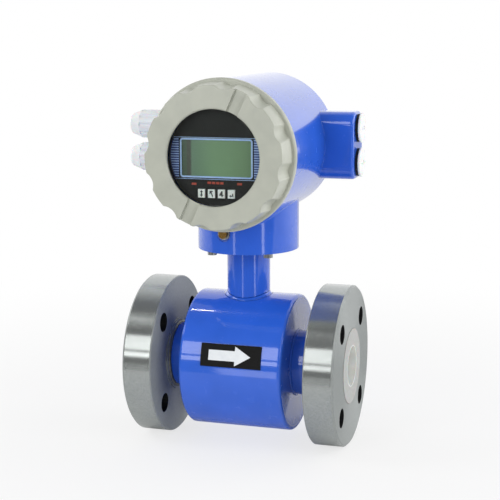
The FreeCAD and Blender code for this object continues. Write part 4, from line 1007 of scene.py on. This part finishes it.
# %% The arrow plate
plate_low, plate_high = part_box("flow_arrow_plate")
plate_points = [vertex.co for vertex in nodes["flow_arrow_plate"].data.vertices]
plate_radius = max(math.hypot(point.y, point.z) for point in plate_points) / MM
plate_ends = [math.atan2(point.z, -point.y) for point in plate_points]
plate_tilt = (min(plate_ends) + max(plate_ends)) / 2
plate_middle = (plate_low.x + plate_high.x) / 2 / MM


def round_barrel(across, up, out):
    """A place on the plate: up is measured round the barrel from the plate's middle."""
    angle = plate_tilt + up / plate_radius
    reach = (plate_radius + out) * MM
    return ((plate_middle + across) * MM, -reach * math.cos(angle), reach * math.sin(angle))


print("plate radius:", round(plate_radius, 2), "mm, tilt:", round(math.degrees(plate_tilt), 1), "degrees")

# %% Flow arrow
ARROW_TAIL = -21.0
ARROW_TIP = 18.8
ARROW_HEAD = 15.0
HALF_SHAFT = 4.75
HALF_HEAD = 9.0
BEND_MM = 2.0

head_start = ARROW_TIP - ARROW_HEAD
lower_side = [(ARROW_TAIL, -HALF_SHAFT), (head_start, -HALF_SHAFT), (head_start, -HALF_HEAD)]
upper_side = [(across, -up) for across, up in reversed(lower_side)]
arrow = [*lower_side, (ARROW_TIP, 0.0), *upper_side]
bends = [BEND_MM * (step + 0.5) - HALF_HEAD for step in range(round(2 * HALF_HEAD / BEND_MM))]
printed_sheet("flow_arrow", [arrow], round_barrel, "meter", white_ink, bends)

# %% [markdown]
# ## The signs on the keys
#
# Each key carries a dark sign: up and down, left, right, and enter. The signs could be letters of a
# font, but a font draws them finer than a rubber key is printed. Each is one outline in millimetres
# from the middle of its key, and it rides on that key, so it sinks with it.

# %% Outlines of the signs
UP_AND_DOWN = [
    (0, 2.9), (1.5, 1.1), (0.55, 1.1), (0.55, -1.1), (1.5, -1.1),
    (0, -2.9), (-1.5, -1.1), (-0.55, -1.1), (-0.55, 1.1), (-1.5, 1.1),
]
LEFT = [
    (-1.7, 2.5), (1.3, 2.5), (1.3, 1.5), (0.2, 1.5),
    (1.8, -2.6), (0.7, -2.6), (-0.4, 0.5), (-1.7, -0.6),
]
RIGHT = [
    (0.2, 2.6), (1.2, 2.6), (1.2, -0.6), (1.9, -0.6), (1.9, -1.5), (1.2, -1.5),
    (1.2, -2.6), (0.2, -2.6), (0.2, -1.5), (-1.9, -1.5), (-1.9, -0.8),
]
ENTER = [
    (0.9, 0.6), (1.8, 0.6), (1.8, -1.9), (-0.4, -1.9), (-0.4, -2.7),
    (-1.9, -1.5), (-0.4, -0.3), (-0.4, -1.1), (0.9, -1.1),
]
SIGNS = {"key_1": UP_AND_DOWN, "key_2": LEFT, "key_3": RIGHT, "key_4": ENTER}
print("signs for", ", ".join(SIGNS))


# %% Signs on the keys
def sign_on(key):
    """Sends a flat sign to the face of a key."""
    low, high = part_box(key)
    middle = (low + high) / 2

    def to_face(across, up, out):
        return (middle.x + across * MM, low.y - out * MM, middle.z + up * MM)

    return to_face


for key, outline in SIGNS.items():
    printed_sheet(f"{key}_sign", [outline], sign_on(key), key, black_ink)

# %% [markdown]
# ## Weld beads
#
# The sleeves are welded to the flange hubs and to the barrel's end plates. A hand-laid bead is a row
# of overlapping drops. A plain torus would read as a rubber ring, so here a ring's section swells
# and shrinks with every drop, and a slow wave keeps the drops from being all alike.
#
# At the flanges the weld is bare steel, wire brushed and a little oxidised: the eye gets a dull brown
# grey with small highlights. At the barrel it is under the blue enamel.

# %% The shape of a bead
DROP_MM = 3.2
STEPS_IN_DROP = 5
BEAD_POINTS = 8
DROP_SWELL = 0.16
HAND_SWELL = 0.05
sleeve_low, sleeve_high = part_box("outlet_sleeve")
sleeve_radius = (sleeve_high.z - sleeve_low.z) / 2 / MM


def bead_swell(step, angle):
    """How thick the bead is at a step, as a share of its leg length."""
    in_drop = (step % STEPS_IN_DROP) / STEPS_IN_DROP
    unevenness = math.sin(7.0 * angle) * math.cos(3.0 * angle)
    return 1.0 + DROP_SWELL * math.sin(math.pi * in_drop) + HAND_SWELL * unevenness


def bead_ring(bead, place_x, thickness, angle):
    """One section of the bead, as a small circle of points."""
    ring = []
    for point in range(BEAD_POINTS):
        turn = 2 * math.pi * point / BEAD_POINTS
        reach = (sleeve_radius + thickness * math.sin(turn)) * MM
        along = (place_x + thickness * math.cos(turn)) * MM
        ring.append(bead.verts.new((along, reach * math.cos(angle), reach * math.sin(angle))))
    return ring


print("sleeve radius:", round(sleeve_radius, 2), "mm")

# %% Beads
HUB_LEG = 1.7
PLATE_LEG = 1.4


def weld_bead(name, place_x, leg, finish):
    """A ring of overlapping drops round the sleeve at place_x, with the given leg length in mm."""
    around = round(2 * math.pi * sleeve_radius / DROP_MM) * STEPS_IN_DROP
    bead = bmesh.new()
    rings = []
    for step in range(around):
        angle = 2 * math.pi * step / around
        rings.append(bead_ring(bead, place_x, leg * bead_swell(step, angle), angle))
    for ring, following in zip(rings, [*rings[1:], rings[0]]):
        for point in range(BEAD_POINTS):
            beside = (point + 1) % BEAD_POINTS
            bead.faces.new((ring[point], ring[beside], following[beside], following[point]))
    bmesh.ops.recalc_face_normals(bead, faces=bead.faces[:])
    return add_piece(name, bead, "meter", finish, smooth=True)


bare_weld = small_metal("bare_weld", "#7D7B6C", "#9C9A8C", 0.8, 0.38, 0.55)
for side_name, inner in (("inlet", 1), ("outlet", 0)):
    # inner is the end of a flange's box that faces the barrel. An end plate's outer end is the other.
    hub_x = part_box(f"{side_name}_flange")[inner].x / MM
    plate_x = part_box(f"{side_name}_end_plate")[1 - inner].x / MM
    weld_bead(f"{side_name}_hub_weld", hub_x, HUB_LEG, bare_weld)
    weld_bead(f"{side_name}_barrel_weld", plate_x, PLATE_LEG, blue_paint)
